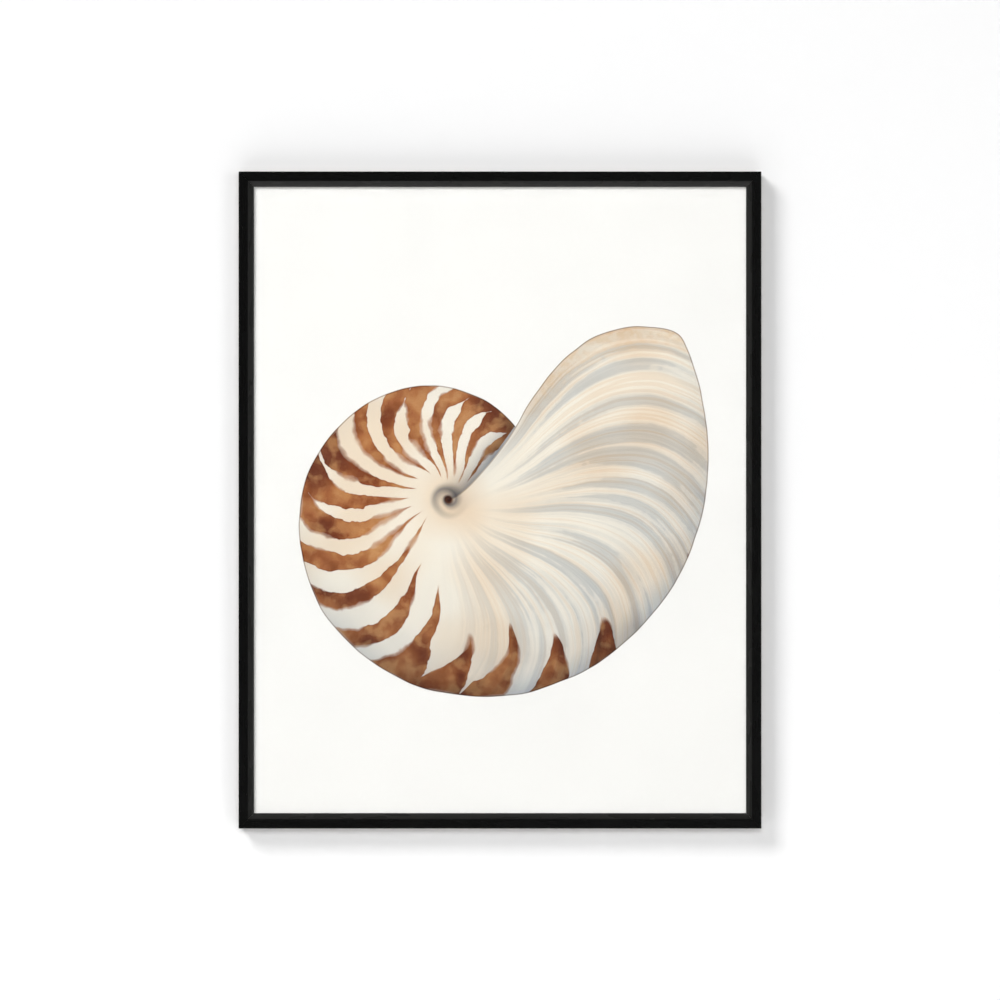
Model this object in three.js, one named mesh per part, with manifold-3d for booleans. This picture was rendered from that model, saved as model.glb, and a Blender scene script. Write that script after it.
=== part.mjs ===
// Framed art print: a mitred black moulding with a clear glazing sheet, a paper print and a
// backing board in its rabbet, held by flexible tabs, and hung from a sawtooth hanger.
//
// Millimetres, +Z up. The picture faces -Y and the wall is the plane y = 0. The origin is the
// point on the wall where the hanger's middle notch sits on its nail.

import * as THREE from 'three';
import { mergeVertices } from 'three/addons/utils/BufferGeometryUtils.js';
import Module from 'manifold-3d';

const wasm = await Module();
wasm.setup();

// ---- Driving dimensions -------------------------------------------------------------------

const SIGHT_WIDTH = 558.8; // picture seen inside the frame, 22 in
const SIGHT_HEIGHT = 711.2; // 28 in
const GAP = 0.3; // clearance between neighbouring pieces

const RAIL_FACE = 17.3; // moulding width from the sight edge to the outer edge
const RAIL_DEPTH = 25; // moulding depth, front to back
const BEVEL_WIDTH = 6.6; // sloping band next to the picture
const BEVEL_DROP = 3.4; // how far that band falls back at the sight edge
const LIP_WIDTH = 6; // rabbet lip that overlaps the glazing
const LIP_THICKNESS = 1.2; // lip thickness at the sight edge
const EDGE_RADIUS = 1; // eased outer edges
const SIGHT_RADIUS = 0.6; // eased sight edge
const ARC_STEPS = 5;

const SHEET_PLAY = 0.7; // room between a sheet's edge and the rabbet wall
const GLAZING_THICKNESS = 1.2; // clear acrylic sheet
const PRINT_THICKNESS = 0.5;
const BOARD_THICKNESS = 3;

const TAB_WIDTH = 6;
const TAB_THICKNESS = 0.6;
const TAB_REACH = 14; // length over the backing board
const TAB_ROOT = 7.5; // length driven into the rabbet wall
const TABS_SHORT_RAIL = 3;
const TABS_LONG_RAIL = 4;

const HANGER_LENGTH = 45;
const HANGER_HEIGHT = 9.6;
const HANGER_THICKNESS = 0.8;
const HANGER_LIFT = 1.4; // how far the toothed middle stands off the ends
const HANGER_END = 6; // length of each flat end
const HANGER_RAMP = 2; // length of each step up to the middle
const HANGER_CORNER = 1.5;
const TOOTH_PITCH = 2.8;
const TOOTH_DEPTH = 2.6;
const TOOTH_COUNT = 9;
const NOTCH_FLANK = 0.42; // half a notch's width as a share of the pitch

const NAIL_RADIUS = 0.7;
const NAIL_LENGTH = 9;
const NAIL_HEAD_RADIUS = 2.1;
const NAIL_HEAD_HEIGHT = 0.9;
const NAIL_HEAD_RIM = 0.35; // height of the head's rim as a share of its height
const NAIL_HEAD_DOME = [0.72, 0.8]; // radius and height of the dome's shoulder, as shares
const NAIL_SIDES = 20;

const BUMPER_RADIUS = 5;
const BUMPER_THICKNESS = 3; // from the back of the rail to the wall
const BUMPER_CHAMFER = 0.6;
const BUMPER_INSET = 26; // from the frame's side to the bumper's centre
const BUMPER_SIDES = 32;

const V_NAIL_LEG = 4.6;
const V_NAIL_ANGLE = THREE.MathUtils.degToRad(34); // each leg's turn from the mitre line
const V_NAIL_THICKNESS = 0.6;
const V_NAIL_DEPTH = 10; // driven in from the back
const V_NAIL_SINK = 0.3; // how far it sits below the back face
const V_NAIL_INSET = 0.34; // its bend's place across the back land, from the rabbet
const POCKET_RUNOUT = 1; // how far a pocket's cutter runs out of the back face

// ---- Places that follow from them -----------------------------------------------------------

const backLand = RAIL_FACE - LIP_WIDTH; // flat back face of a rail
const outerHalfWidth = SIGHT_WIDTH / 2 + RAIL_FACE;
const outerHalfHeight = SIGHT_HEIGHT / 2 + RAIL_FACE;
const backY = -BUMPER_THICKNESS; // back face of the rails
const frontY = backY - RAIL_DEPTH; // front face of the rails
const lipY = frontY + BEVEL_DROP + LIP_THICKNESS; // back of the lip
const glazingY = lipY + GAP; // front of the glazing
const printY = glazingY + GLAZING_THICKNESS + GAP;
const boardY = printY + PRINT_THICKNESS + GAP;
const tabY = boardY + BOARD_THICKNESS + GAP;

// The notches' tops lie at z = 0, and the hanger is centred on the top rail's back face.
const hangerCentreZ = HANGER_HEIGHT / 2 - TOOTH_DEPTH;
const topZ = hangerCentreZ + backLand / 2;
const centreZ = topZ - outerHalfHeight; // middle of the picture
const nailX = HANGER_LENGTH / 2 - HANGER_END / 2; // nails sit in the middle of the flat ends

// ---- Materials ------------------------------------------------------------------------------

function material(color, roughness, metalness = 0) {
  return new THREE.MeshStandardMaterial({ color, roughness, metalness });
}

const blackLacquer = material(0x141414, 0.4);
const clearAcrylic = material(0xf4f8f8, 0.05);
const paper = material(0xf7f5f0, 0.9);
const hardboard = material(0x8a6a48, 0.8);
const zincSteel = material(0xb9bcbe, 0.35, 0.9);
const blackSteel = material(0x2a2a2c, 0.4, 0.8);
const rubber = material(0x1c1c1e, 0.8);

// ---- Solids ---------------------------------------------------------------------------------

function toManifold(geometry) {
  const bare = geometry.clone();
  bare.deleteAttribute('normal');
  bare.deleteAttribute('uv');
  const merged = mergeVertices(bare, 1e-4);
  return new wasm.Manifold(new wasm.Mesh({
    numProp: 3,
    vertProperties: new Float32Array(merged.attributes.position.array),
    triVerts: new Uint32Array(merged.index.array),
  }));
}

function toGeometry(solid) {
  const mesh = solid.getMesh();
  const geometry = new THREE.BufferGeometry();
  geometry.setAttribute('position', new THREE.BufferAttribute(mesh.vertProperties, 3));
  geometry.setIndex(new THREE.BufferAttribute(mesh.triVerts, 1));
  geometry.computeVertexNormals();
  return geometry;
}

function cut(geometry, cutters) {
  const solid = cutters.reduce(
    (rest, cutter) => rest.subtract(toManifold(cutter)),
    toManifold(geometry),
  );
  return toGeometry(solid);
}

function extrude(shape, depth) {
  return new THREE.ExtrudeGeometry(shape, {
    depth, bevelEnabled: false, steps: 1, curveSegments: ARC_STEPS,
  });
}

// A flat plate whose outline is drawn in X and Z, from y = 0 back to y = thickness.
function plate(outline, thickness) {
  return extrude(outline, thickness)
    .rotateX(Math.PI / 2)
    .translate(0, thickness, 0);
}

function sheet(name, thickness, frontOfSheet, sheetMaterial) {
  const geometry = new THREE.BoxGeometry(
    SIGHT_WIDTH + 2 * (LIP_WIDTH - SHEET_PLAY),
    thickness,
    SIGHT_HEIGHT + 2 * (LIP_WIDTH - SHEET_PLAY),
  );
  const mesh = named(name, geometry, sheetMaterial);
  mesh.position.set(0, frontOfSheet + thickness / 2, 0);
  return mesh;
}

function named(name, geometry, itsMaterial) {
  const mesh = new THREE.Mesh(geometry, itsMaterial);
  mesh.name = name;
  return mesh;
}

// ---- Moulding -------------------------------------------------------------------------------

// Section of the moulding: x runs outwards from the sight edge, y back from the front face.
function railSection() {
  const sightBack = BEVEL_DROP + LIP_THICKNESS;
  const quarter = Math.PI / 2;
  const section = new THREE.Shape();
  section.moveTo(0, sightBack);
  section.lineTo(0, BEVEL_DROP + SIGHT_RADIUS);
  section.quadraticCurveTo(0, BEVEL_DROP, SIGHT_RADIUS, BEVEL_DROP * (1 - SIGHT_RADIUS / BEVEL_WIDTH));
  section.lineTo(BEVEL_WIDTH, 0);
  section.absarc(RAIL_FACE - EDGE_RADIUS, EDGE_RADIUS, EDGE_RADIUS, -quarter, 0, false);
  section.absarc(RAIL_FACE - EDGE_RADIUS, RAIL_DEPTH - EDGE_RADIUS, EDGE_RADIUS, 0, quarter, false);
  section.lineTo(LIP_WIDTH, RAIL_DEPTH);
  section.lineTo(LIP_WIDTH, sightBack);
  section.closePath();
  return section;
}

// The rail below a sight opening, with both ends mitred: the further a point lies from the
// sight edge, the longer the rail is there.
function railGeometry(sightLength, sightDistance) {
  const geometry = extrude(railSection(), 1);
  const position = geometry.attributes.position;
  for (let i = 0; i < position.count; i += 1) {
    const outward = position.getX(i);
    const back = position.getY(i);
    const end = position.getZ(i) > 0.5 ? 1 : -1;
    const halfLength = sightLength / 2 + outward - GAP / Math.SQRT2;
    position.setXYZ(i, end * halfLength, frontY + back, -(sightDistance + outward));
  }
  return geometry;
}

// ---- Flexible tabs --------------------------------------------------------------------------

// Outline in X and Z: z = 0 is the rabbet wall, the rounded end reaches over the board and the
// pointed root goes down into the wood. Clearance widens it to the slot that takes it.
function tabOutline(clearance) {
  const half = TAB_WIDTH / 2 + clearance;
  const root = TAB_ROOT + clearance;
  const point = clearance > 0 ? half : half / 3;
  const outline = new THREE.Shape();
  outline.moveTo(-point, -root);
  outline.lineTo(point, -root);
  outline.lineTo(half, -root + TAB_WIDTH / 2);
  outline.lineTo(half, TAB_REACH - half);
  outline.absarc(0, TAB_REACH - half, half, 0, Math.PI, false);
  outline.lineTo(-half, -root + TAB_WIDTH / 2);
  outline.closePath();
  return outline;
}

function tabPlace(geometry, along, sightDistance, thickness) {
  const wallZ = -(sightDistance + LIP_WIDTH);
  return geometry.translate(along, tabY + (TAB_THICKNESS - thickness) / 2, wallZ);
}

function spread(count, length) {
  return Array.from({ length: count }, (_, i) => ((i + 0.5) / count - 0.5) * length);
}

// ---- V nails --------------------------------------------------------------------------------

// Seen from the back: two legs that leave the mitre line at V_NAIL_ANGLE on either side. The
// line runs along +X here, towards the frame's outer corner.
function vNailOutline(clearance) {
  const half = V_NAIL_THICKNESS / 2 + clearance;
  const leg = V_NAIL_LEG + clearance;
  const along = new THREE.Vector2(Math.cos(V_NAIL_ANGLE), Math.sin(V_NAIL_ANGLE));
  const across = new THREE.Vector2(-along.y, along.x).multiplyScalar(half);
  const apexOut = half / Math.sin(V_NAIL_ANGLE);
  const tip = along.clone().multiplyScalar(leg);
  return new THREE.Shape([
    new THREE.Vector2(-apexOut, 0),
    new THREE.Vector2(tip.x + across.x, -(tip.y + across.y)),
    new THREE.Vector2(tip.x - across.x, -(tip.y - across.y)),
    new THREE.Vector2(apexOut, 0),
    new THREE.Vector2(tip.x - across.x, tip.y - across.y),
    new THREE.Vector2(tip.x + across.x, tip.y + across.y),
  ]);
}

// A V nail or its pocket at one corner of the frame, about the middle of the picture.
function vNailGeometry(sideX, sideZ, clearance) {
  const depth = V_NAIL_DEPTH + (clearance > 0 ? clearance + V_NAIL_SINK + POCKET_RUNOUT : 0);
  const back = backY + (clearance > 0 ? POCKET_RUNOUT : -V_NAIL_SINK);
  const inset = LIP_WIDTH + backLand * V_NAIL_INSET;
  return plate(vNailOutline(clearance), depth)
    .rotateY(-Math.atan2(sideZ, sideX))
    .translate(sideX * (SIGHT_WIDTH / 2 + inset), back - depth, sideZ * (SIGHT_HEIGHT / 2 + inset));
}

// ---- Sawtooth hanger ------------------------------------------------------------------------

// Outline in X and Z about the hanger's middle: rounded ends, a nail hole in each, and a row
// of teeth along the lower edge.
function hangerOutline() {
  const halfLength = HANGER_LENGTH / 2;
  const halfHeight = HANGER_HEIGHT / 2;
  const corner = HANGER_CORNER;
  const outline = new THREE.Shape();
  outline.moveTo(-halfLength + corner, -halfHeight);
  for (let i = 0; i < TOOTH_COUNT; i += 1) {
    const x = (i - (TOOTH_COUNT - 1) / 2) * TOOTH_PITCH;
    outline.lineTo(x - TOOTH_PITCH * NOTCH_FLANK, -halfHeight);
    outline.lineTo(x, -halfHeight + TOOTH_DEPTH);
    outline.lineTo(x + TOOTH_PITCH * NOTCH_FLANK, -halfHeight);
  }
  outline.absarc(halfLength - corner, -halfHeight + corner, corner, -Math.PI / 2, 0, false);
  outline.absarc(halfLength - corner, halfHeight - corner, corner, 0, Math.PI / 2, false);
  outline.absarc(-halfLength + corner, halfHeight - corner, corner, Math.PI / 2, Math.PI, false);
  outline.absarc(-halfLength + corner, -halfHeight + corner, corner, Math.PI, 1.5 * Math.PI, false);
  for (const side of [-1, 1]) {
    const hole = new THREE.Path();
    hole.absarc(side * nailX, 0, NAIL_RADIUS + GAP, 0, 2 * Math.PI, true);
    outline.holes.push(hole);
  }
  return outline;
}

// The same strip seen from above, X and Y: two flat ends and a raised middle.
function hangerBend() {
  const end = HANGER_LENGTH / 2 + 1;
  const foot = HANGER_LENGTH / 2 - HANGER_END;
  const rise = foot - HANGER_RAMP;
  const t = HANGER_THICKNESS;
  return new THREE.Shape([
    new THREE.Vector2(-end, 0),
    new THREE.Vector2(-foot, 0),
    new THREE.Vector2(-rise, HANGER_LIFT),
    new THREE.Vector2(rise, HANGER_LIFT),
    new THREE.Vector2(foot, 0),
    new THREE.Vector2(end, 0),
    new THREE.Vector2(end, t),
    new THREE.Vector2(foot + t / 3, t),
    new THREE.Vector2(rise + t / 3, HANGER_LIFT + t),
    new THREE.Vector2(-rise - t / 3, HANGER_LIFT + t),
    new THREE.Vector2(-foot - t / 3, t),
    new THREE.Vector2(-end, t),
  ]);
}

function hangerGeometry() {
  const outline = plate(hangerOutline(), 2 * HANGER_LIFT + HANGER_THICKNESS)
    .translate(0, -HANGER_LIFT / 2, 0);
  const bend = extrude(hangerBend(), 2 * HANGER_HEIGHT).translate(0, 0, -HANGER_HEIGHT);
  return toGeometry(toManifold(outline).intersect(toManifold(bend)));
}

// A round-headed nail about the Y axis: its head's underside is at y = 0, its point at -length.
function nailGeometry() {
  const points = [
    [0, -NAIL_LENGTH],
    [NAIL_RADIUS, -NAIL_LENGTH + 2 * NAIL_RADIUS],
    [NAIL_RADIUS, 0],
    [NAIL_HEAD_RADIUS, 0],
    [NAIL_HEAD_RADIUS, NAIL_HEAD_HEIGHT * NAIL_HEAD_RIM],
    [NAIL_HEAD_RADIUS * NAIL_HEAD_DOME[0], NAIL_HEAD_HEIGHT * NAIL_HEAD_DOME[1]],
    [0, NAIL_HEAD_HEIGHT],
  ].map(([x, y]) => new THREE.Vector2(x, y));
  return new THREE.LatheGeometry(points, NAIL_SIDES);
}

function nailHole() {
  const bottom = -NAIL_LENGTH - GAP;
  const top = HANGER_THICKNESS + 4 * GAP;
  const points = [[0, bottom], [NAIL_RADIUS + GAP, bottom], [NAIL_RADIUS + GAP, top], [0, top]];
  return new THREE.LatheGeometry(points.map(([x, y]) => new THREE.Vector2(x, y)), NAIL_SIDES);
}

// ---- Bumpers --------------------------------------------------------------------------------

// About the Y axis, from the back of the rail to the wall.
function bumperGeometry() {
  const height = BUMPER_THICKNESS - GAP;
  const points = [
    [0, 0],
    [BUMPER_RADIUS, 0],
    [BUMPER_RADIUS, height - BUMPER_CHAMFER],
    [BUMPER_RADIUS - BUMPER_CHAMFER, height],
    [0, height],
  ].map(([x, y]) => new THREE.Vector2(x, y));
  return new THREE.LatheGeometry(points, BUMPER_SIDES);
}

// ---- Assembly -------------------------------------------------------------------------------

// Each rail is drawn as the bottom one and turned about the middle of the picture.
const QUARTER = Math.PI / 2;
const RAILS = [
  { side: 'bottom', turn: 0, length: SIGHT_WIDTH, distance: SIGHT_HEIGHT / 2, tabs: TABS_SHORT_RAIL },
  { side: 'left', turn: QUARTER, length: SIGHT_HEIGHT, distance: SIGHT_WIDTH / 2, tabs: TABS_LONG_RAIL },
  { side: 'top', turn: 2 * QUARTER, length: SIGHT_WIDTH, distance: SIGHT_HEIGHT / 2, tabs: TABS_SHORT_RAIL },
  { side: 'right', turn: -QUARTER, length: SIGHT_HEIGHT, distance: SIGHT_WIDTH / 2, tabs: TABS_LONG_RAIL },
];
const CORNERS = [
  { name: 'top_left', x: -1, z: 1 },
  { name: 'top_right', x: 1, z: 1 },
  { name: 'bottom_left', x: -1, z: -1 },
  { name: 'bottom_right', x: 1, z: -1 },
];

const slotThickness = TAB_THICKNESS + 2 * GAP;
const nailBaseY = backY + 2 * GAP + HANGER_THICKNESS; // underside of a nail's head
const hangerLocalZ = hangerCentreZ - centreZ; // height above the middle of the picture

function cuttersFor(rail) {
  const tabSlots = spread(rail.tabs, rail.length)
    .map((along) => tabPlace(plate(tabOutline(GAP), slotThickness), along, rail.distance, slotThickness));
  const vPockets = CORNERS
    .map((corner) => vNailGeometry(corner.x, corner.z, GAP).rotateY(-rail.turn));
  const nailHoles = rail.side === 'top'
    ? [-1, 1].map((side) => nailHole().translate(side * nailX, nailBaseY, hangerLocalZ).rotateY(-rail.turn))
    : [];
  return [...tabSlots, ...vPockets, ...nailHoles];
}

const group = new THREE.Group();
const picture = new THREE.Group(); // everything placed about the middle of the picture
picture.position.set(0, 0, centreZ);
group.add(picture);

for (const rail of RAILS) {
  const turned = new THREE.Group();
  turned.rotation.y = rail.turn;
  const solid = cut(railGeometry(rail.length, rail.distance), cuttersFor(rail));
  turned.add(named(`rail_${rail.side}`, solid, blackLacquer));
  spread(rail.tabs, rail.length).forEach((along, i) => {
    const strip = plate(tabOutline(0), TAB_THICKNESS);
    const tab = tabPlace(strip, along, rail.distance, TAB_THICKNESS);
    turned.add(named(`tab_${rail.side}_${i + 1}`, tab, blackSteel));
  });
  picture.add(turned);
}

for (const corner of CORNERS) {
  picture.add(named(`v_nail_${corner.name}`, vNailGeometry(corner.x, corner.z, 0), zincSteel));
}

picture.add(sheet('glazing', GLAZING_THICKNESS, glazingY, clearAcrylic));
picture.add(sheet('art_print', PRINT_THICKNESS, printY, paper));
picture.add(sheet('backing_board', BOARD_THICKNESS, boardY, hardboard));

const hanger = named('sawtooth_hanger', hangerGeometry(), zincSteel);
hanger.position.set(0, backY + GAP, hangerCentreZ);
group.add(hanger);

for (const [side, label] of [[-1, 'left'], [1, 'right']]) {
  const nail = named(`hanger_nail_${label}`, nailGeometry(), zincSteel);
  nail.position.set(side * nailX, nailBaseY, hangerCentreZ);
  group.add(nail);

  const bumper = named(`bumper_${label}`, bumperGeometry(), rubber);
  bumper.position.set(
    side * (outerHalfWidth - BUMPER_INSET),
    backY + GAP,
    -(outerHalfHeight - backLand / 2),
  );
  picture.add(bumper);
}

export default group;
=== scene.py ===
"""Framed art print: the looks of every piece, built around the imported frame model.

Lengths in the classes are in metres, in the frame's own axes: +X to the right of someone looking
at the picture, +Z up, and +Y from the picture into the wall. Patterns work in millimetres about
the middle of the picture.
"""

from dataclasses import dataclass
from enum import Enum, IntEnum
import logging
import math
from typing import Callable, Sequence, Union

import bpy
import bmesh
from mathutils import Matrix, Vector

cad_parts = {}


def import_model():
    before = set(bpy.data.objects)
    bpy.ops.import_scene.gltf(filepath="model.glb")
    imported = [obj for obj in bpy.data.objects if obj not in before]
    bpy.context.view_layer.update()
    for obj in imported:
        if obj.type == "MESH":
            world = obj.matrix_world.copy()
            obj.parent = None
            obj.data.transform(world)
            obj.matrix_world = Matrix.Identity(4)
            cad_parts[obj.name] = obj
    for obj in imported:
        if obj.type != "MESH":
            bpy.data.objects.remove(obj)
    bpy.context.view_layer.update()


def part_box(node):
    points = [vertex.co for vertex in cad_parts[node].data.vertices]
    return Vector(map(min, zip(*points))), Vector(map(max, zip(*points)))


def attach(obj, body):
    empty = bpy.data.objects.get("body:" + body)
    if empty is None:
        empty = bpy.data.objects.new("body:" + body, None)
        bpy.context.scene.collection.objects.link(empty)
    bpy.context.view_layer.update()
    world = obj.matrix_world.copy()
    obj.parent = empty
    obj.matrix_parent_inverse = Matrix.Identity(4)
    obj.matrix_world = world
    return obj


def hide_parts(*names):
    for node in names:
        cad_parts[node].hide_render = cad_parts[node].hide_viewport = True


LOG = logging.getLogger("framed_art_print")

MM = 0.001
ROOT_BODY = "root"
RAIL_PLACE = "rail_place"
FACING = "facing"
RAIL_GRAIN_SHIFT = 1700.0

Number = Union[float, "Field"]
Colour = tuple[float, float, float, float]
Pair = tuple[float, float]
Place = tuple[Vector, float]


def pigment(code: str) -> Colour:
    """Turns a six-digit sRGB code into the linear colour that nodes take.

    Args:
        code: The colour as six hexadecimal digits, such as "c9b28a".

    Returns:
        Linear red, green, blue and an alpha of one.
    """
    channels = [int(code[i:i + 2], 16) / 255 for i in (0, 2, 4)]
    linear = [c / 12.92 if c <= 0.04045 else ((c + 0.055) / 1.055) ** 2.4 for c in channels]
    return (linear[0], linear[1], linear[2], 1.0)


def add_node(tree: bpy.types.NodeTree, kind: str, **settings: object) -> bpy.types.Node:
    """Adds a node to a tree.

    Args:
        tree: The tree.
        kind: The node's full type.
        **settings: Values for the node's own properties.

    Returns:
        The new node.
    """
    made = tree.nodes.new(kind)
    for key, value in settings.items():
        setattr(made, key, value)
    return made


class Field:
    """A number that varies over a surface, worked out by shader nodes."""

    def __init__(self, graph: "Graph", socket: bpy.types.NodeSocket) -> None:
        """Keeps the graph for further nodes, and the socket that carries the number."""
        self.graph = graph
        self.socket = socket

    def __add__(self, other: Number) -> "Field":
        """Sum of two numbers."""
        return self.graph.math("ADD", self, other)

    def __radd__(self, other: Number) -> "Field":
        """Sum of two numbers."""
        return self.graph.math("ADD", other, self)

    def __sub__(self, other: Number) -> "Field":
        """Difference of two numbers."""
        return self.graph.math("SUBTRACT", self, other)

    def __rsub__(self, other: Number) -> "Field":
        """Difference of two numbers."""
        return self.graph.math("SUBTRACT", other, self)

    def __mul__(self, other: Number) -> "Field":
        """Product of two numbers."""
        return self.graph.math("MULTIPLY", self, other)

    def __truediv__(self, other: Number) -> "Field":
        """Quotient of two numbers."""
        return self.graph.math("DIVIDE", self, other)

    def __abs__(self) -> "Field":
        """The number without its sign."""
        return self.graph.math("ABSOLUTE", self)

    def least(self, other: Number) -> "Field":
        """The smaller of two numbers."""
        return self.graph.math("MINIMUM", self, other)

    def most(self, other: Number) -> "Field":
        """The larger of two numbers."""
        return self.graph.math("MAXIMUM", self, other)

    def blend_least(self, other: Number, over: float) -> "Field":
        """The smaller of two numbers, rounded off where they are within `over` of each other."""
        return self.graph.math("SMOOTH_MIN", self, other, over)

    def power(self, exponent: Number) -> "Field":
        """The number raised to a power."""
        return self.graph.math("POWER", self, exponent)

    def root(self) -> "Field":
        """The square root."""
        return self.graph.math("SQRT", self)

    def log(self) -> "Field":
        """The natural logarithm."""
        return self.graph.math("LOGARITHM", self, math.e)

    def exp(self) -> "Field":
        """e to the power of the number."""
        return self.graph.math("EXPONENT", self)

    def floor(self) -> "Field":
        """The whole number below."""
        return self.graph.math("FLOOR", self)

    def fract(self) -> "Field":
        """What is left above the whole number below."""
        return self.graph.math("FRACT", self)

    def clamp(self, low: float = 0.0, high: float = 1.0) -> "Field":
        """The number held between two limits."""
        return self.most(low).least(high)

    def step(self, start: float, end: float) -> "Field":
        """Rises smoothly from 0 at start to 1 at end, or falls where end is below start."""
        return self.graph.smooth_step(self, start, end)

    def ramp(self, start: float, end: float, low: float = 0.0, high: float = 1.0) -> "Field":
        """Goes in a straight line from low at start to high at end, and stays there."""
        return self.graph.straight_step(self, start, end, low, high)


@dataclass(frozen=True)
class Point:
    """A place on the sheet, in millimetres."""

    x: Field
    y: Field

    def shift(self, dx: Number, dy: Number) -> "Point":
        """The place moved by a given amount."""
        return Point(self.x + dx, self.y + dy)

    def length(self) -> Field:
        """Distance from zero."""
        return (self.x * self.x + self.y * self.y).root()


class Graph:
    """A material's or a sky's node tree, with the steps that the finishes share.

    Attributes:
        stretch_apart: How far apart two seeds read the same noise, in blots.
        colour_inputs: The Mix node's sockets for the amount, the lower and the upper colour.
        colour_output: Its socket for the combined colour.
    """

    stretch_apart = (37.3, -21.7)
    colour_inputs = (0, 6, 7)
    colour_output = 2

    def __init__(self, holder: Union[bpy.types.Material, bpy.types.World]) -> None:
        """Empties the node tree.

        Args:
            holder: The new material or sky that has the tree.
        """
        holder.use_nodes = True
        self.holder = holder
        self.tree = holder.node_tree
        self.tree.nodes.clear()

    def node(self, kind: str, **settings: object) -> bpy.types.Node:
        """Adds a shader node, named without the ShaderNode in front, with its properties."""
        return add_node(self.tree, "ShaderNode" + kind, **settings)

    def parts(self, vector: bpy.types.NodeSocket) -> tuple[Field, Field, Field]:
        """Takes a vector apart.

        Args:
            vector: The output that gives it.

        Returns:
            Its three numbers.
        """
        made = self.node("SeparateXYZ")
        self.put(made.inputs[0], vector)
        return tuple(Field(self, made.outputs[i]) for i in range(3))

    def object_place(self) -> tuple[Field, Field, Field]:
        """The place on the object, in metres."""
        return self.parts(self.node("TexCoord").outputs["Object"])

    def put(self, socket: bpy.types.NodeSocket, value: object) -> None:
        """Links a field or a socket into a socket, or sets a plain value on it.

        Args:
            socket: The input to fill.
            value: A field, an output socket, a number, or a tuple.
        """
        if isinstance(value, Field):
            value = value.socket
        if isinstance(value, bpy.types.NodeSocket):
            self.tree.links.new(value, socket)
        else:
            socket.default_value = value

    def math(self, operation: str, *values: Number) -> Field:
        """Adds one Math node.

        Args:
            operation: The node's operation.
            *values: Its inputs, in order.

        Returns:
            The result.
        """
        made = self.node("Math", operation=operation)
        for socket, value in zip(made.inputs, values):
            self.put(socket, value)
        return Field(self, made.outputs[0])

    def smooth_step(self, value: Field, start: float, end: float) -> Field:
        """Adds a smooth step, which also works from a high start to a low end.

        Args:
            value: What is measured.
            start: Where the step gives zero.
            end: Where it gives one.

        Returns:
            The step, from 0 to 1.
        """
        rising = start < end
        made = self.node("MapRange", interpolation_type="SMOOTHSTEP")
        low, high = (start, end) if rising else (end, start)
        ends = (0.0, 1.0) if rising else (1.0, 0.0)
        for i, item in enumerate((value, low, high, *ends)):
            self.put(made.inputs[i], item)
        return Field(self, made.outputs[0])

    def straight_step(self, value: Field, start: float, end: float, low: float,
                      high: float) -> Field:
        """Adds a clamped straight ramp.

        Args:
            value: What is measured.
            start: Where the ramp gives `low`.
            end: Where it gives `high`.
            low: What it gives up to the start.
            high: What it gives from the end on.

        Returns:
            The ramp.
        """
        made = self.node("MapRange", interpolation_type="LINEAR", clamp=True)
        for i, item in enumerate((value, start, end, low, high)):
            self.put(made.inputs[i], item)
        return Field(self, made.outputs[0])

    def angle(self, point: Point) -> Field:
        """Angle of a point about zero, counter-clockwise from +X, in radians."""
        return self.math("ARCTAN2", point.y, point.x)

    def vector(self, x: Number, y: Number, z: Number = 0.0) -> bpy.types.NodeSocket:
        """Joins three numbers into a vector.

        Args:
            x: The first.
            y: The second.
            z: The third.

        Returns:
            The vector.
        """
        made = self.node("CombineXYZ")
        for socket, value in zip(made.inputs, (x, y, z)):
            self.put(socket, value)
        return made.outputs[0]

    def noise(self, point: Point, size: float, detail: float = 2.0, seed: int = 0) -> Field:
        """Flat cloud noise with blots of about `size` millimetres, mostly near 0.5."""
        return Field(self, self._noise_node(point, size, detail, seed).outputs["Fac"])

    def _noise_node(self, point: Point, size: float, detail: float, seed: int) -> bpy.types.Node:
        """Adds the node behind noise and wobble.

        Args:
            point: Where it is read, in millimetres.
            size: Rough size of its blots, in millimetres.
            detail: How many finer layers it has.
            seed: Picks another stretch of the same noise.

        Returns:
            The node.
        """
        made = self.node("TexNoise", noise_dimensions="2D")
        across, up = self.stretch_apart
        shifted = point.shift(seed * across * size, seed * up * size)
        self.put(made.inputs["Vector"], self.vector(shifted.x, shifted.y))
        self.put(made.inputs["Scale"], 1.0 / size)
        self.put(made.inputs["Detail"], detail)
        return made

    def wobble(self, point: Point, size: float, reach: float, detail: float = 1.0,
               seed: int = 0) -> Point:
        """Moves a point about by noise, as an unsteady hand would.

        Args:
            point: The point to move.
            size: Rough size of one swing.
            reach: How far it moves at most.
            detail: How many finer layers the swing has.
            seed: Picks another stretch of noise.

        Returns:
            The moved point.
        """
        made = self._noise_node(point, size, detail, seed)
        parts = self.node("SeparateColor")
        self.put(parts.inputs[0], made.outputs["Color"])
        dx, dy = (Field(self, parts.outputs[i]) - 0.5 for i in (0, 1))
        return point.shift(dx * (2 * reach), dy * (2 * reach))

    def random(self, number: Field, seed: float = 0.0) -> Field:
        """Draws a number that is the same wherever `number` is the same.

        Args:
            number: What it is drawn for.
            seed: Keeps draws for different uses apart.

        Returns:
            The draw, from 0 to 1.
        """
        made = self.node("TexWhiteNoise", noise_dimensions="1D")
        self.put(made.inputs["W"], number + seed)
        return Field(self, made.outputs["Value"])

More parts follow.
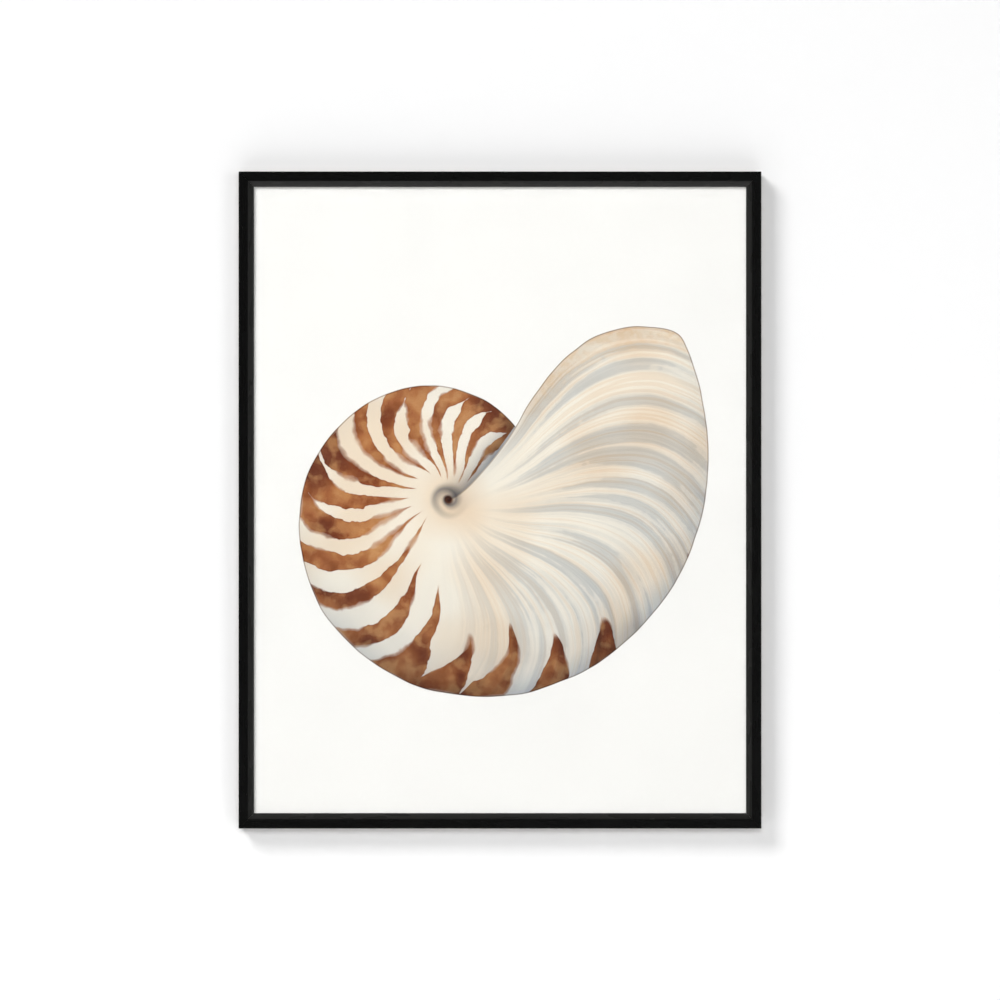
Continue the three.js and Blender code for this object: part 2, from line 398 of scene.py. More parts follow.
    def mix(self, amount: Number, below: object, above: object,
            blend: str = "MIX") -> bpy.types.NodeSocket:
        """Lays one colour over another.

        Args:
            amount: How much of the upper colour shows, from 0 to 1.
            below: The lower colour.
            above: The upper colour.
            blend: How they combine.

        Returns:
            The combined colour.
        """
        made = self.node("Mix", data_type="RGBA", blend_type=blend, clamp_factor=True)
        for i, value in zip(self.colour_inputs, (amount, below, above)):
            self.put(made.inputs[i], value)
        return made.outputs[self.colour_output]

    def glaze(self, amount: Number, below: object, wash: object) -> bpy.types.NodeSocket:
        """Lays a clear wash over a colour, which darkens what is under it."""
        return self.mix(amount, below, wash, "MULTIPLY")

    def sheet_point(self, centre: Vector) -> Point:
        """Place across the picture and up it, in millimetres about its middle."""
        x, _, z = self.object_place()
        return Point((x - centre.x) * (1 / MM), (z - centre.z) * (1 / MM))


@dataclass(frozen=True)
class Shell:
    """A whole nautilus as formulas: a growing spiral about a pole, and the lip that ends it.

    Angles grow counter-clockwise from the cut, the line from the pole to the lip's inner end.
    """

    pole_x: float = -58.0
    pole_y: float = 0.0
    cut_angle: float = math.radians(30.0)
    start_radius: float = 106.0
    growth: float = 0.175
    lip_bulge: float = 0.32
    lip_end: float = 0.10
    lip_corner: float = 16.0

    def whorl_ratio(self) -> float:
        """How much the radius grows in one whole turn."""
        return math.exp(self.growth * math.tau)


@dataclass(frozen=True)
class ShellPlace:
    """Where a point lies on the painted shell.

    Attributes:
        around: Counter-clockwise angle from the cut, past a whole turn under the lip.
        reach: Distance from the pole, in millimetres.
        share: That distance as a share of the outline's radius in the same direction.
        inside: Distance inside the shell's outline, below zero outside.
        flap: One where the last turn lies over the start of the spiral, zero elsewhere.
        lip: Distance back from the lip, in millimetres.
        past_lip: Distance beyond the lip on the older turn, in millimetres.
        from_pole: The point about the pole.
    """

    around: Field
    reach: Field
    share: Field
    inside: Field
    flap: Field
    lip: Field
    past_lip: Field
    from_pole: Point


@dataclass(frozen=True)
class WatercolourPalette:
    """The paints, each as a clear wash over white paper."""

    paper: Colour = pigment("fdfcf9")
    tint: Colour = pigment("fbfaf7")
    cream: Colour = pigment("faf4e8")
    blush: Colour = pigment("f2dcc4")
    sienna: Colour = pigment("d8a878")
    rust: Colour = pigment("b06c44")
    mahogany: Colour = pigment("804a34")
    pool: Colour = pigment("c89c80")
    shade: Colour = pigment("c8d0dc")
    dusk: Colour = pigment("8890a0")
    line: Colour = pigment("80685a")
    dust: Colour = pigment("b0a898")


class Seed(IntEnum):
    """One stretch of noise for each layer of the painting."""

    HAND = 1
    GROUND = 2
    CREAM = 3
    GROWTH = 4
    SWAY = 5
    STRIPE_EDGE = 7
    STRIPE_SOFTNESS = 8
    TONE = 9
    CURL = 11
    TOOTH = 12
    DRY_BRUSH = 14
    ROUNDING = 16
    FINE_GROWTH = 19
    BLOOM = 20
    SETTLED = 21


class NautilusWatercolour:
    """A plain study of a whole nautilus shell, worked out point by point in shader nodes.

    Strengths of washes run from 0 to 1, and widths are in millimetres. A ramp or a step takes the
    values of a noise, which lie mostly between 0.3 and 0.7, or of a place on the shell.
    """

    hand_swing = 2.6
    edge_softness = 0.35
    bare_front = (3.8, 5.2)
    growth_lines_per_radian = 11.0
    fine_lines_to_one = 3.0
    stripe_sway = 6.0
    stripes_per_radian = 3.5
    stripe_fade = (3.3, 5.6)
    stripe_taper = 0.4
    border_draw = 11.21
    merge_draw = 0.37
    gap_draw = 5.5
    stripe_ragged = 7.0
    lip_glow = (34.0, 3.0)
    lip_shadow = 34.0
    shaded_side = (0.35, 0.94)
    rim_shade = 26.0
    curl_start = 4.0
    curl_pitch = 0.24
    curl_glow = (52.0, 12.0)
    curl_edge = (24.0, 14.0)
    curl_heart = (7.0, 3.0)

    def __init__(self, graph: Graph, centre: Vector, shell: Shell = Shell(),
                 palette: WatercolourPalette = WatercolourPalette()) -> None:
        """Sets out the drawing on bare paper.

        Args:
            graph: The material's graph.
            centre: Middle of the picture, in metres.
            shell: Sizes of the painted shell.
            palette: The paints.
        """
        self.graph = graph
        self.shell = shell
        self.palette = palette
        self.sheet = graph.sheet_point(centre)
        drawn = graph.wobble(self.sheet, 80.0, self.hand_swing, detail=2.0, seed=Seed.HAND)
        self.place = self.locate(drawn)
        self.on_shell = self.place.inside.step(-self.edge_softness, self.edge_softness)
        self.colour = self.ground()

    def wash(self, amount: Field, paint: Union[Colour, bpy.types.NodeSocket]) -> None:
        """Lays one more wash over all that is painted so far."""
        self.colour = self.graph.glaze(amount, self.colour, paint)

    def cloud(self, size: float, detail: float, seed: Seed) -> Field:
        """Noise over the sheet, with blots of about `size` millimetres."""
        return self.graph.noise(self.sheet, size, detail=detail, seed=seed)

    def lip_curve(self, share: Field) -> Field:
        """How far the lip runs past the cut at a share of the radius, in radians."""
        bulge = share * (1.0 - share) * (4.0 * self.shell.lip_bulge)
        return bulge + share * self.shell.lip_end

    def locate(self, point: Point) -> ShellPlace:
        """Works out where a point lies on the shell.

        Args:
            point: A place on the sheet.

        Returns:
            Its place on the shell.
        """
        shell, graph = self.shell, self.graph
        ratio = shell.whorl_ratio()
        from_pole = point.shift(-shell.pole_x, -shell.pole_y)
        reach = from_pole.length()
        first = ((graph.angle(from_pole) - shell.cut_angle) / math.tau).fract() * math.tau
        coil = (first * shell.growth).exp() * shell.start_radius
        lip_here = self.lip_curve(reach / (coil * ratio))
        flap = graph.math("LESS_THAN", first, lip_here)
        around = first + flap * math.tau
        radius = coil * (flap * (ratio - 1.0) + 1.0)
        share = reach / radius
        lip = (self.lip_curve(share) + math.tau - around) * reach
        return ShellPlace(
            around=around,
            reach=reach,
            share=share,
            inside=(radius - reach).blend_least(lip, shell.lip_corner),
            flap=flap,
            lip=lip,
            past_lip=(first - lip_here) * reach,
            from_pole=from_pole,
        )

    def growth_angle(self, place: ShellPlace) -> Field:
        """Angle that stays the same along a line of growth, each shaped like the lip."""
        return place.around - self.lip_curve(place.share)

    def paint(self) -> bpy.types.NodeSocket:
        """Paints the whole sheet, one layer over another.

        Returns:
            The picture's colour.
        """
        self.body()
        self.stripes()
        self.modelling()
        self.eye()
        self.contour()
        self.grain()
        return self.colour

    def ground(self) -> bpy.types.NodeSocket:
        """The paper's own colour, with the faintest uneven tone."""
        uneven = self.cloud(120.0, 3.0, Seed.GROUND).ramp(0.35, 0.7)
        return self.graph.mix(uneven, self.palette.paper, self.palette.tint)

    def body(self) -> None:
        """Lays cream over the whole shell, with fine lines of growth towards the lip."""
        graph, place, palette = self.graph, self.place, self.palette
        blot = self.cloud(110.0, 1.0, Seed.CREAM).ramp(0.42, 0.68, 0.0, 0.5)
        self.wash(self.on_shell, palette.cream)
        self.wash(self.on_shell * blot, palette.blush)
        front = place.around.step(*self.bare_front) * self.on_shell * place.share.step(0.1, 0.4)
        lines = Point(self.growth_angle(place) * self.growth_lines_per_radian, place.share * 0.7)
        stroke = graph.noise(lines, 1.0, detail=2.0, seed=Seed.GROWTH)
        dry = self.cloud(9.0, 2.0, Seed.DRY_BRUSH)
        edge = stroke + (dry - 0.5) * 0.07
        self.wash(front * edge.ramp(0.52, 0.36) * 0.42, palette.shade)
        self.wash(front * edge.step(0.415, 0.407) * 0.26, palette.shade)
        close = Point(lines.x * self.fine_lines_to_one, lines.y)
        fine = graph.noise(close, 0.6, detail=1.0, seed=Seed.FINE_GROWTH)
        self.wash(front * fine.step(0.56, 0.6) * 0.32, palette.blush)
        self.wash(front * fine.step(0.42, 0.38) * 0.16, palette.shade)
        glow = place.lip.ramp(*self.lip_glow) * self.on_shell * place.share.step(0.2, 0.6)
        self.wash(glow * dry.ramp(0.35, 0.6, 0.35, 0.8), palette.blush)

    def stripe_depth(self, place: ShellPlace) -> tuple[Field, Field]:
        """Sets out the stripes, which draw back to the rim near the lip.

        Args:
            place: The place on the shell, swaying a little.

        Returns:
            Distance inside a stripe's edge, in millimetres, and how full the stripe is.
        """
        graph = self.graph
        count = self.growth_angle(place) * self.stripes_per_radian
        cell = count.floor()
        border = (count + 0.5).floor()
        chance = graph.random(border, self.border_draw)
        within = abs(count - cell - 0.5)
        merge = graph.random(cell, self.merge_draw).step(0.55, 0.6)
        merge = merge * place.share.step(0.72, 0.98)
        gap = (graph.random(cell, self.gap_draw) * 0.16 + 0.42) * (1.0 - merge * 1.1)
        start = place.around.ramp(*self.stripe_fade, 0.14, 1.0) + chance * 0.14
        taper = ((place.share - start) / self.stripe_taper).clamp().power(0.75)
        half = (1.0 - gap) * taper * 0.5
        depth = (half - (0.5 - within)) * place.reach / self.stripes_per_radian
        rough = self.cloud(12.0, 2.0, Seed.STRIPE_EDGE) - 0.5
        return (depth + rough * taper * self.stripe_ragged).least(self.place.inside), taper

    def stripes(self) -> None:
        """Lays brown flames along the lines of growth, with pools where the paint dried."""
        graph, palette = self.graph, self.palette
        loose = graph.wobble(self.sheet, 55.0, self.stripe_sway, detail=1.0, seed=Seed.SWAY)
        place = self.locate(loose)
        depth, taper = self.stripe_depth(place)
        soft = self.cloud(44.0, 0.0, Seed.STRIPE_SOFTNESS).ramp(0.5, 0.7, 0.4, 3.0)
        clear = (1.0 - self.place.flap) * (1.0 - place.flap)
        wet = ((depth / soft).clamp(-1.0, 1.0) * 0.5 + 0.5) * self.on_shell * clear
        wet = wet * taper.step(0.0, 0.2)
        tone = self.cloud(46.0, 2.0, Seed.TONE)
        bloom = self.cloud(20.0, 2.0, Seed.BLOOM)
        outward = (place.share + (tone - 0.5) * 0.8).ramp(0.4, 1.0)
        inner = graph.mix(tone.ramp(0.35, 0.62), palette.sienna, palette.rust)
        outer = graph.mix(tone.ramp(0.38, 0.62), palette.rust, palette.mahogany)
        brown = graph.mix(outward, inner, outer)
        self.wash(wet, graph.mix(bloom.ramp(0.5, 0.66, 0.0, 0.55), brown, palette.sienna))
        dried = abs(bloom - 0.5).ramp(0.0, 0.012, 0.45, 0.0) * tone.step(0.42, 0.52)
        edge = depth.ramp(0.0, 1.5, 0.7, 0.0) + bloom.ramp(0.46, 0.36, 0.0, 0.4) + dried
        self.wash((wet * edge).clamp(), palette.pool)
        self.wash(wet * self.cloud(0.9, 1.0, Seed.SETTLED).ramp(0.5, 0.75, 0.0, 0.45),
                  palette.pool)

    def modelling(self) -> None:
        """Lays cool shading that rounds the shell, and the shadow that the lip throws."""
        place, palette, on_shell = self.place, self.palette, self.on_shell
        right, down = self.shaded_side
        low = (place.from_pole.x * right - place.from_pole.y * down) / place.reach.most(1.0)
        turned_away = place.share.power(3.0) * low.ramp(-0.25, 1.0)
        uneven = self.cloud(70.0, 1.0, Seed.ROUNDING).ramp(0.3, 0.7, 0.6, 1.0)
        self.wash(turned_away * uneven * on_shell, palette.shade)
        rim = place.inside.ramp(self.rim_shade, 0.0) * low.ramp(0.0, 1.0, 0.15, 0.7)
        self.wash(rim * on_shell, palette.shade)
        under = place.past_lip.ramp(0.0, self.lip_shadow, 1.0, 0.0).power(1.6)
        self.wash(under * (1.0 - place.flap) * on_shell * uneven, palette.dusk)

    def eye(self) -> None:
        """Paints the small sunk curl at the pole."""
        graph, palette = self.graph, self.palette
        near = graph.wobble(self.sheet, 30.0, 1.2, seed=Seed.CURL)
        near = near.shift(-self.shell.pole_x, -self.shell.pole_y)
        reach = near.length().most(0.5)
        turns = (graph.angle(near) - (reach / self.curl_start).log() / self.curl_pitch) / math.tau
        curl = abs(turns.fract() - 0.5)
        self.wash(reach.ramp(*self.curl_glow, 0.0, 0.7) * self.on_shell, palette.blush)
        self.wash(reach.step(*self.curl_edge) * curl.ramp(0.0, 0.45, 0.9, 0.1), palette.dusk)
        self.wash(reach.step(*self.curl_heart), palette.mahogany)

    def contour(self) -> None:
        """Draws a thin pencil line round the shell and along the lip."""
        inside, lip = self.place.inside, self.place.lip
        outline = abs(inside - 0.4).ramp(0.35, 1.0, 0.6, 0.0)
        along_lip = abs(lip - 0.5).ramp(0.4, 1.1, 0.6, 0.0) * inside.step(-0.5, 0.5)
        self.wash(outline.most(along_lip), self.palette.line)

    def grain(self) -> None:
        """Lets pigment settle in the paper's tooth."""
        self.wash(self.cloud(1.6, 2.0, Seed.TOOTH).ramp(0.3, 0.7, 0.0, 0.06), self.palette.dust)


class Slot(Enum):
    """The record's material slots."""

    FRAME = "frame_finish"
    ACRYLIC = "clear_acrylic"
    PAPER = "print_paper"
    BOARD = "hardboard"
    ZINC = "zinc_steel"
    TAB = "tab_steel"
    RUBBER = "bumper_rubber"


class Side(Enum):
    """A side of the frame, with its turn about Y from the bottom one, in degrees."""

    BOTTOM = 0.0
    LEFT = 90.0
    TOP = 180.0
    RIGHT = -90.0

    @property
    def label(self) -> str:
        """The side's name as the nodes spell it."""
        return self.name.lower()

    @property
    def turn(self) -> float:
        """The side's turn in radians."""
        return math.radians(self.value)


@dataclass(frozen=True)
class Layout:
    """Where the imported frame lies, in metres."""

    centre: Vector
    sight_half_width: float
    sight_half_height: float
    outer_half_width: float
    front: float
    back: float

    @classmethod
    def from_frame(cls) -> "Layout":
        """Reads the layout from the rails' boxes.

        Returns:
            The layout.
        """
        left_low, left_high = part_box("rail_left")
        top_low, top_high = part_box("rail_top")
        bottom_low, bottom_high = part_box("rail_bottom")
        return cls(
            centre=Vector((0.0, left_low.y, (top_high.z + bottom_low.z) / 2)),
            sight_half_width=-left_high.x,
            sight_half_height=(top_low.z - bottom_high.z) / 2,
            outer_half_width=-left_low.x,
            front=left_low.y,
            back=left_high.y,
        )

    def placed(self, side: Side) -> Matrix:
        """The matrix that turns a shape drawn as the bottom side, about zero, to its own side."""
        middle = Matrix.Translation((self.centre.x, 0.0, self.centre.z))
        return middle @ Matrix.Rotation(side.turn, 4, "Y")

    def half_length(self, side: Side) -> float:
        """Half the sight length along a side."""
        upright = side in (Side.LEFT, Side.RIGHT)
        return self.sight_half_height if upright else self.sight_half_width

    def distance(self, side: Side) -> float:
        """Distance from the picture's middle to a side's sight edge."""
        upright = side in (Side.LEFT, Side.RIGHT)
        return self.sight_half_width if upright else self.sight_half_height


def middle_of(node: str) -> Vector:
    """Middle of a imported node's box, in metres."""
    low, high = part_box(node)
    return (low + high) / 2


def mesh_from(bm: bmesh.types.BMesh, name: str) -> bpy.types.Mesh:
    """Turns a bmesh into a mesh with its faces pointing out.

    Args:
        bm: The shape, which is freed.
        name: The mesh's name.

    Returns:
        The mesh.
    """
    bmesh.ops.recalc_face_normals(bm, faces=bm.faces)
    if bm.calc_volume(signed=True) < 0.0:
        bmesh.ops.reverse_faces(bm, faces=bm.faces)
    mesh = bpy.data.meshes.new(name)
    bm.to_mesh(mesh)
    bm.free()
    return mesh


def placed_object(mesh: bpy.types.Mesh, name: str) -> bpy.types.Object:
    """Makes an object for a mesh and links it to the scene.

    Args:
        mesh: Its mesh.
        name: Its name.

    Returns:
        The object, at the origin.
    """
    made = bpy.data.objects.new(name, mesh)
    bpy.context.scene.collection.objects.link(made)
    return made


def piece_from(bm: bmesh.types.BMesh, name: str) -> bpy.types.Object:
    """Makes an object from a shape, which is freed, with its faces pointing out."""
    return placed_object(mesh_from(bm, name), name)


def applied(source: bpy.types.Object, name: str) -> bpy.types.Object:
    """Turns an object with live modifiers, or a curve, into a plain mesh object.

    Args:
        source: The object, which is removed.
        name: The new object's name.

    Returns:
        The plain object.
    """
    graph = bpy.context.evaluated_depsgraph_get()
    graph.update()
    mesh = bpy.data.meshes.new_from_object(source.evaluated_get(graph))
    source.modifiers.clear()
    bpy.data.objects.remove(source)
    mesh.name = name
    return placed_object(mesh, name)


def dissolve_spare_corners(mesh: bpy.types.Mesh) -> None:
    """Takes out the corners that a cut leaves where only two edges meet.

    Args:
        mesh: The mesh, which is changed.
    """
    bm = bmesh.new()
    bm.from_mesh(mesh)
    bmesh.ops.dissolve_verts(bm, verts=[vert for vert in bm.verts if len(vert.link_edges) == 2])
    bm.to_mesh(mesh)
    bm.free()


def smooth(piece: bpy.types.Object, sharp_degrees: float) -> None:
    """Shades a piece smooth, with hard edges where faces meet at more than the angle."""
    piece.data.shade_smooth()
    piece.data.set_sharp_from_angle(angle=math.radians(sharp_degrees))


def hand_over(piece: bpy.types.Object, slot: Slot, *nodes: str) -> None:
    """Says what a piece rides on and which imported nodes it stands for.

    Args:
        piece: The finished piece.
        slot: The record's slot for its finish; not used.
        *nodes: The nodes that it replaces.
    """
    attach(piece, ROOT_BODY)
    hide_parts(*nodes)
    LOG.info("%s: %d faces, stands for %s", piece.name, len(piece.data.polygons), ", ".join(nodes))


def loft(rings: Sequence[Sequence[Vector]]) -> bmesh.types.BMesh:
    """Joins closed rings of equal count into a solid with flat ends.

    Args:
        rings: The rings, in order.

    Returns:
        The closed shape.
    """
    bm = bmesh.new()
    rows = [[bm.verts.new(point) for point in ring] for ring in rings]
    count = len(rows[0])
    for near, far in zip(rows, rows[1:]):
        for i in range(count):
            j = (i + 1) % count
            bm.faces.new((near[i], near[j], far[j], far[i]))
    bm.faces.new(list(reversed(rows[0])))
    bm.faces.new(rows[-1])
    return bm


def prism(outline: Sequence[Pair], front: float, back: float) -> bmesh.types.BMesh:
    """A closed solid with an outline drawn in X and Z, from one Y to another."""
    return loft([[Vector((x, y, z)) for x, z in outline] for y in (front, back)])


def turned(profile: Sequence[Pair], sides: int) -> bmesh.types.BMesh:
    """A round solid about the Y axis.

    Args:
        profile: Radius and Y of each point, starting and ending off the axis.
        sides: Number of flats around it.

    Returns:
        The closed shape.
    """
    rings = []
    for radius, y in profile:
        angles = [math.tau * i / sides for i in range(sides)]
        rings.append([Vector((radius * math.cos(a), y, radius * math.sin(a))) for a in angles])
    return loft(rings)


def slab(low: Vector, high: Vector, ease: float) -> bmesh.types.BMesh:
    """A flat board between two corners with all its edges eased.

    Args:
        low: Its lowest corner.
        high: Its highest corner.
        ease: Width of the chamfer.

    Returns:
        The closed shape.
    """
    bm = bmesh.new()
    bmesh.ops.create_cube(bm, size=1.0)
    size = high - low
    for vert in bm.verts:
        vert.co = low + Vector([size[i] * (vert.co[i] + 0.5) for i in range(3)])
    bmesh.ops.bevel(bm, geom=list(bm.edges), offset=ease, segments=2, profile=0.5,
                    affect="EDGES")
    return bm


def merged(shapes: Sequence[bmesh.types.BMesh]) -> bmesh.types.BMesh:
    """Puts several shapes in one, without joining them.

    Args:
        shapes: The shapes, which are freed.

    Returns:
        One shape with all of them.
    """
    whole = bmesh.new()
    for shape in shapes:
        bmesh.ops.recalc_face_normals(shape, faces=shape.faces)
        part = bpy.data.meshes.new("part")
        shape.to_mesh(part)
        shape.free()
        whole.from_mesh(part)
        bpy.data.meshes.remove(part)
    return whole


class Finish:
    """A finish that ends in one Principled shader."""

    name = "finish"

    def __init__(self) -> None:
        """Starts the material and its shader."""
        self.graph = Graph(bpy.data.materials.new(self.name))
        self.shader = self.graph.node("BsdfPrincipled")
        output = self.graph.node("OutputMaterial")
        self.graph.put(output.inputs["Surface"], self.shader.outputs[0])
        self.dress()

    @property
    def material(self) -> bpy.types.Material:
        """The finished material."""
        return self.graph.holder

    def dress(self) -> None:
        """Fills in the shader."""
        raise NotImplementedError

    def set(self, **values: object) -> None:
        """Fills inputs of the shader.

        Args:
            **values: Input names in lower case with underscores, and what goes in.
        """
        for key, value in values.items():
            title = key.replace("_", " ").title().replace("Ior", "IOR")
            self.graph.put(self.shader.inputs[title], value)

    def coordinates(self) -> tuple[Field, Field, Field]:
        """The place on the object, in millimetres."""
        x, y, z = self.graph.object_place()
        return x * (1 / MM), y * (1 / MM), z * (1 / MM)

    def cloud(self, x: Number, y: Number, z: Number, size: float, detail: float = 2.0) -> Field:
        """Noise in all three directions.

        Args:
            x: First coordinate, in millimetres.
            y: Second coordinate.
            z: Third coordinate.
            size: Rough size of its blots, in millimetres.
            detail: How many finer layers it has.

        Returns:
            The noise, mostly near 0.5.
        """
        graph = self.graph
        made = graph.node("TexNoise", noise_dimensions="3D")
        graph.put(made.inputs["Vector"], graph.vector(x, y, z))
        graph.put(made.inputs["Scale"], 1.0 / size)
        graph.put(made.inputs["Detail"], detail)
        return Field(graph, made.outputs["Fac"])

    def relief(self, height: Number, depth: float) -> bpy.types.NodeSocket:
        """Turns a height from 0 to 1 into a bumped normal.

        Args:
            height: The height.
            depth: How high one unit stands, in metres.

        Returns:
            The normal.
        """
        made = self.graph.node("Bump")
        made.inputs["Strength"].default_value = 1.0
        made.inputs["Distance"].default_value = depth
        self.graph.put(made.inputs["Height"], height)
        return made.outputs["Normal"]


class RailFinish(Finish):
    """Black satin lacquer on the faces that show, paler on the bevel with painted sheen that
    brightens towards the sight edge, and raw wood in the rabbet and on the back.

    A cloud's own values lie mostly between 0.3 and 0.7, here and in the finishes that follow.

    Attributes:
        edge_blot: Size of the blots that roughen the lacquer's edges, in millimetres.
        lap_swing: How far they shift its edge on the back.
        lip_swing: How far they shift its edge behind the lip.
        lip_reach: How far it runs on behind the lip.
        lip_fade: Over what length it ends there.
        ridge_blur: How far the bevel's paler tone and painted sheen fade to each side of the ridge.
        satin: Roughness of the lacquer where it is clearest, and where it is haziest.
        wood_rougher: How much rougher the raw wood is.
    """

    name = "black_lacquer_on_wood"
    edge_blot = 3.0
    lap_swing = 1.8
    lip_swing = 1.4
    lip_reach = 0.4
    lip_fade = 0.6
    ridge_blur = 0.15
    satin = (0.24, 0.31)
    wood_rougher = 0.42
    lacquer = (0.003, 0.003, 0.0029, 1.0)
    # A paler copy of the lacquer for the bevel: partly a paler finish, partly painted sheen that
    # stands in for light the bevel catches.
    bevel_lacquer = (0.0235, 0.0235, 0.022, 1.0)
    pale_wood = pigment("d6c3a0")
    ring_wood = pigment("b4966c")
    pore_wood = pigment("86694a")

    def __init__(self, moulding: "Moulding") -> None:
        """Takes the moulding's sizes, which say where the lacquer ends."""
        self.moulding = moulding
        super().__init__()

    def dress(self) -> None:
        """Lays lacquer over wood by the place on the moulding's section, with painted sheen on the
        bevel.
        """
        graph, ridge = self.graph, self.moulding.bevel_width / MM
        place = graph.node("Attribute", attribute_name=RAIL_PLACE, attribute_type="GEOMETRY")
        along, outward, back = graph.parts(place.outputs["Vector"])
        wood, fibre = self.wood(along, outward, back)
        raw = self.raw(along, outward, back)
        # Painted sheen: the bevel's lacquer grows paler from the ridge to the sight edge, as if it
        # caught the light.
        rise = outward.ramp(ridge + self.ridge_blur, ridge - self.ridge_blur)
        rise = rise * outward.ramp(ridge, 0.4, 0.45, 1.0)
        haze = self.cloud(along * 0.2, outward, back, 9.0)
        black = graph.mix(rise * haze.ramp(0.2, 0.8, 0.85, 1.1), self.lacquer, self.bevel_lacquer)
        peel = self.cloud(along, outward, back, 0.9, detail=1.0)
        height = (fibre * 0.35 + peel * 0.65) * (1.0 - raw) + fibre * raw * 3.0
        self.set(
            base_color=graph.mix(raw, black, wood),
            roughness=haze.ramp(0.3, 0.7, *self.satin) + raw * self.wood_rougher,
            specular_ior_level=0.2,
            normal=self.relief(height, 0.018 * MM),
        )

    def raw(self, along: Field, outward: Field, back: Field) -> Field:
        """Finds where no lacquer lies: in the rabbet, and on the back up to its wrapped edge.

        Args:
            along: Place along the rail, in millimetres.
            outward: Place out from the sight edge.
            back: Place behind the front face.

        Returns:
            One on raw wood, and zero on lacquer.
        """
        moulding = self.moulding
        ragged = self.cloud(along, outward, back, self.edge_blot) - 0.5
        lap = (moulding.face - moulding.back_wrap) / MM + ragged * self.lap_swing
        behind_lip = (moulding.bevel_drop + moulding.lip_thickness) / MM + self.lip_reach
        behind = (back + ragged * self.lip_swing).step(behind_lip, behind_lip + self.lip_fade)
        return self.graph.math("LESS_THAN", outward, lap) * behind

    def wood(self, along: Field, outward: Field, back: Field) -> tuple[bpy.types.NodeSocket, Field]:
        """Straight-grained pale wood.

        Args:
            along: Place along the rail, in millimetres.
            outward: Place out from the sight edge.
            back: Place behind the front face.

        Returns:
            Its colour, and the height of its fibres.
        """
        graph = self.graph
        rings = self.cloud(along * 0.012, outward * 0.7, back * 0.7, 2.2, detail=3.0)
        fibre = self.cloud(along * 0.06, outward, back, 0.45, detail=2.0)
        pores = self.cloud(along * 0.09, outward + 40.0, back, 0.33, detail=1.0)
        colour = graph.mix(rings.ramp(0.35, 0.65), self.pale_wood, self.ring_wood)
        colour = graph.mix(fibre.ramp(0.4, 0.75, 0.0, 0.35), colour, self.ring_wood)
        return graph.mix(pores.ramp(0.6, 0.72, 0.0, 0.7), colour, self.pore_wood), fibre


class AcrylicFinish(Finish):
    """Clear acrylic glazing."""

    name = "clear_acrylic_sheet"
    clear = (0.99, 0.995, 0.995, 1.0)
    bend_of_light = 1.49

    def dress(self) -> None:
        """Lets light straight through, almost without a tint."""
        self.set(base_color=self.clear, roughness=0.0, ior=self.bend_of_light,
                 transmission_weight=1.0)


class PrintFinish(Finish):
    """Cotton paper with the watercolour on its front."""

    name = "printed_cotton_paper"
    stock = (0.8, 0.8, 0.8, 1.0)
    felt_hollow = pigment("f4f1e8")
    felt_rise = pigment("faf8f2")

    def __init__(self, centre: Vector, middle_y: float) -> None:
        """Takes the picture's middle, and the Y halfway through the sheet.

        Args:
            centre: The picture's middle, in metres.
            middle_y: The Y that parts the sheet's front from its back, in metres.
        """
        self.centre = centre
        self.middle_y = middle_y
        super().__init__()

    def dress(self) -> None:
        """Paints the front and gives the whole sheet a paper tooth."""
        graph = self.graph
        art = NautilusWatercolour(graph, self.centre)
        x, y, z = self.coordinates()
        front = graph.math("LESS_THAN", y, self.middle_y / MM)
        tooth = self.cloud(x, y, z, 1.3, detail=2.0)
        felt = self.cloud(x, y, z, 5.0, detail=1.0)
        bare = graph.mix(tooth.ramp(0.3, 0.7), self.felt_hollow, self.felt_rise)
        self.set(
            base_color=graph.glaze(1.0, graph.mix(front, bare, art.paint()), self.stock),
            roughness=tooth.ramp(0.3, 0.7, 0.86, 0.96),
            specular_ior_level=0.25,
            normal=self.relief(tooth * 0.7 + felt, 0.06 * MM),
        )


class HardboardFinish(Finish):
    """Brown hardboard, with the mark of the wire screen on its rough face."""

    name = "screen_backed_hardboard"
    screen_pitch = 1.4
    dark_fibre = pigment("73512f")
    light_fibre = pigment("9a7448")
    pale_thread = pigment("b8925f")
    bark_speck = pigment("4f3620")
    pressed = pigment("6a4a2b")

    def dress(self) -> None:
        """Adds fibres, blotches and the screen's mesh."""
        graph = self.graph
        x, y, z = self.coordinates()
        blotch = self.cloud(x, y, z, 60.0, detail=3.0)
        fibre = self.cloud(x * 0.35, y, z + (blotch - 0.5) * 8.0, 1.1, detail=3.0)
        cross = self.cloud(x + 90.0, y, z * 0.3, 1.3, detail=3.0)
        speck = self.cloud(x, y, z, 2.6, detail=1.0)
        colour = graph.mix(fibre.ramp(0.35, 0.68), self.dark_fibre, self.light_fibre)
        colour = graph.mix(cross.ramp(0.55, 0.7, 0.0, 0.6), colour, self.pale_thread)
        colour = graph.mix(speck.ramp(0.64, 0.7, 0.0, 0.7), colour, self.bark_speck)
        colour = graph.mix(blotch.ramp(0.4, 0.7, 0.0, 0.35), colour, self.pressed)
        wires = math.tau / self.screen_pitch
        mesh = graph.math("SINE", x * wires) * graph.math("SINE", z * wires)
        self.set(
            base_color=colour,
            roughness=fibre.ramp(0.3, 0.7, 0.72, 0.88),
            specular_ior_level=0.3,
            normal=self.relief(mesh * 0.5 + fibre * 0.9 + cross * 0.5, 0.1 * MM),
        )


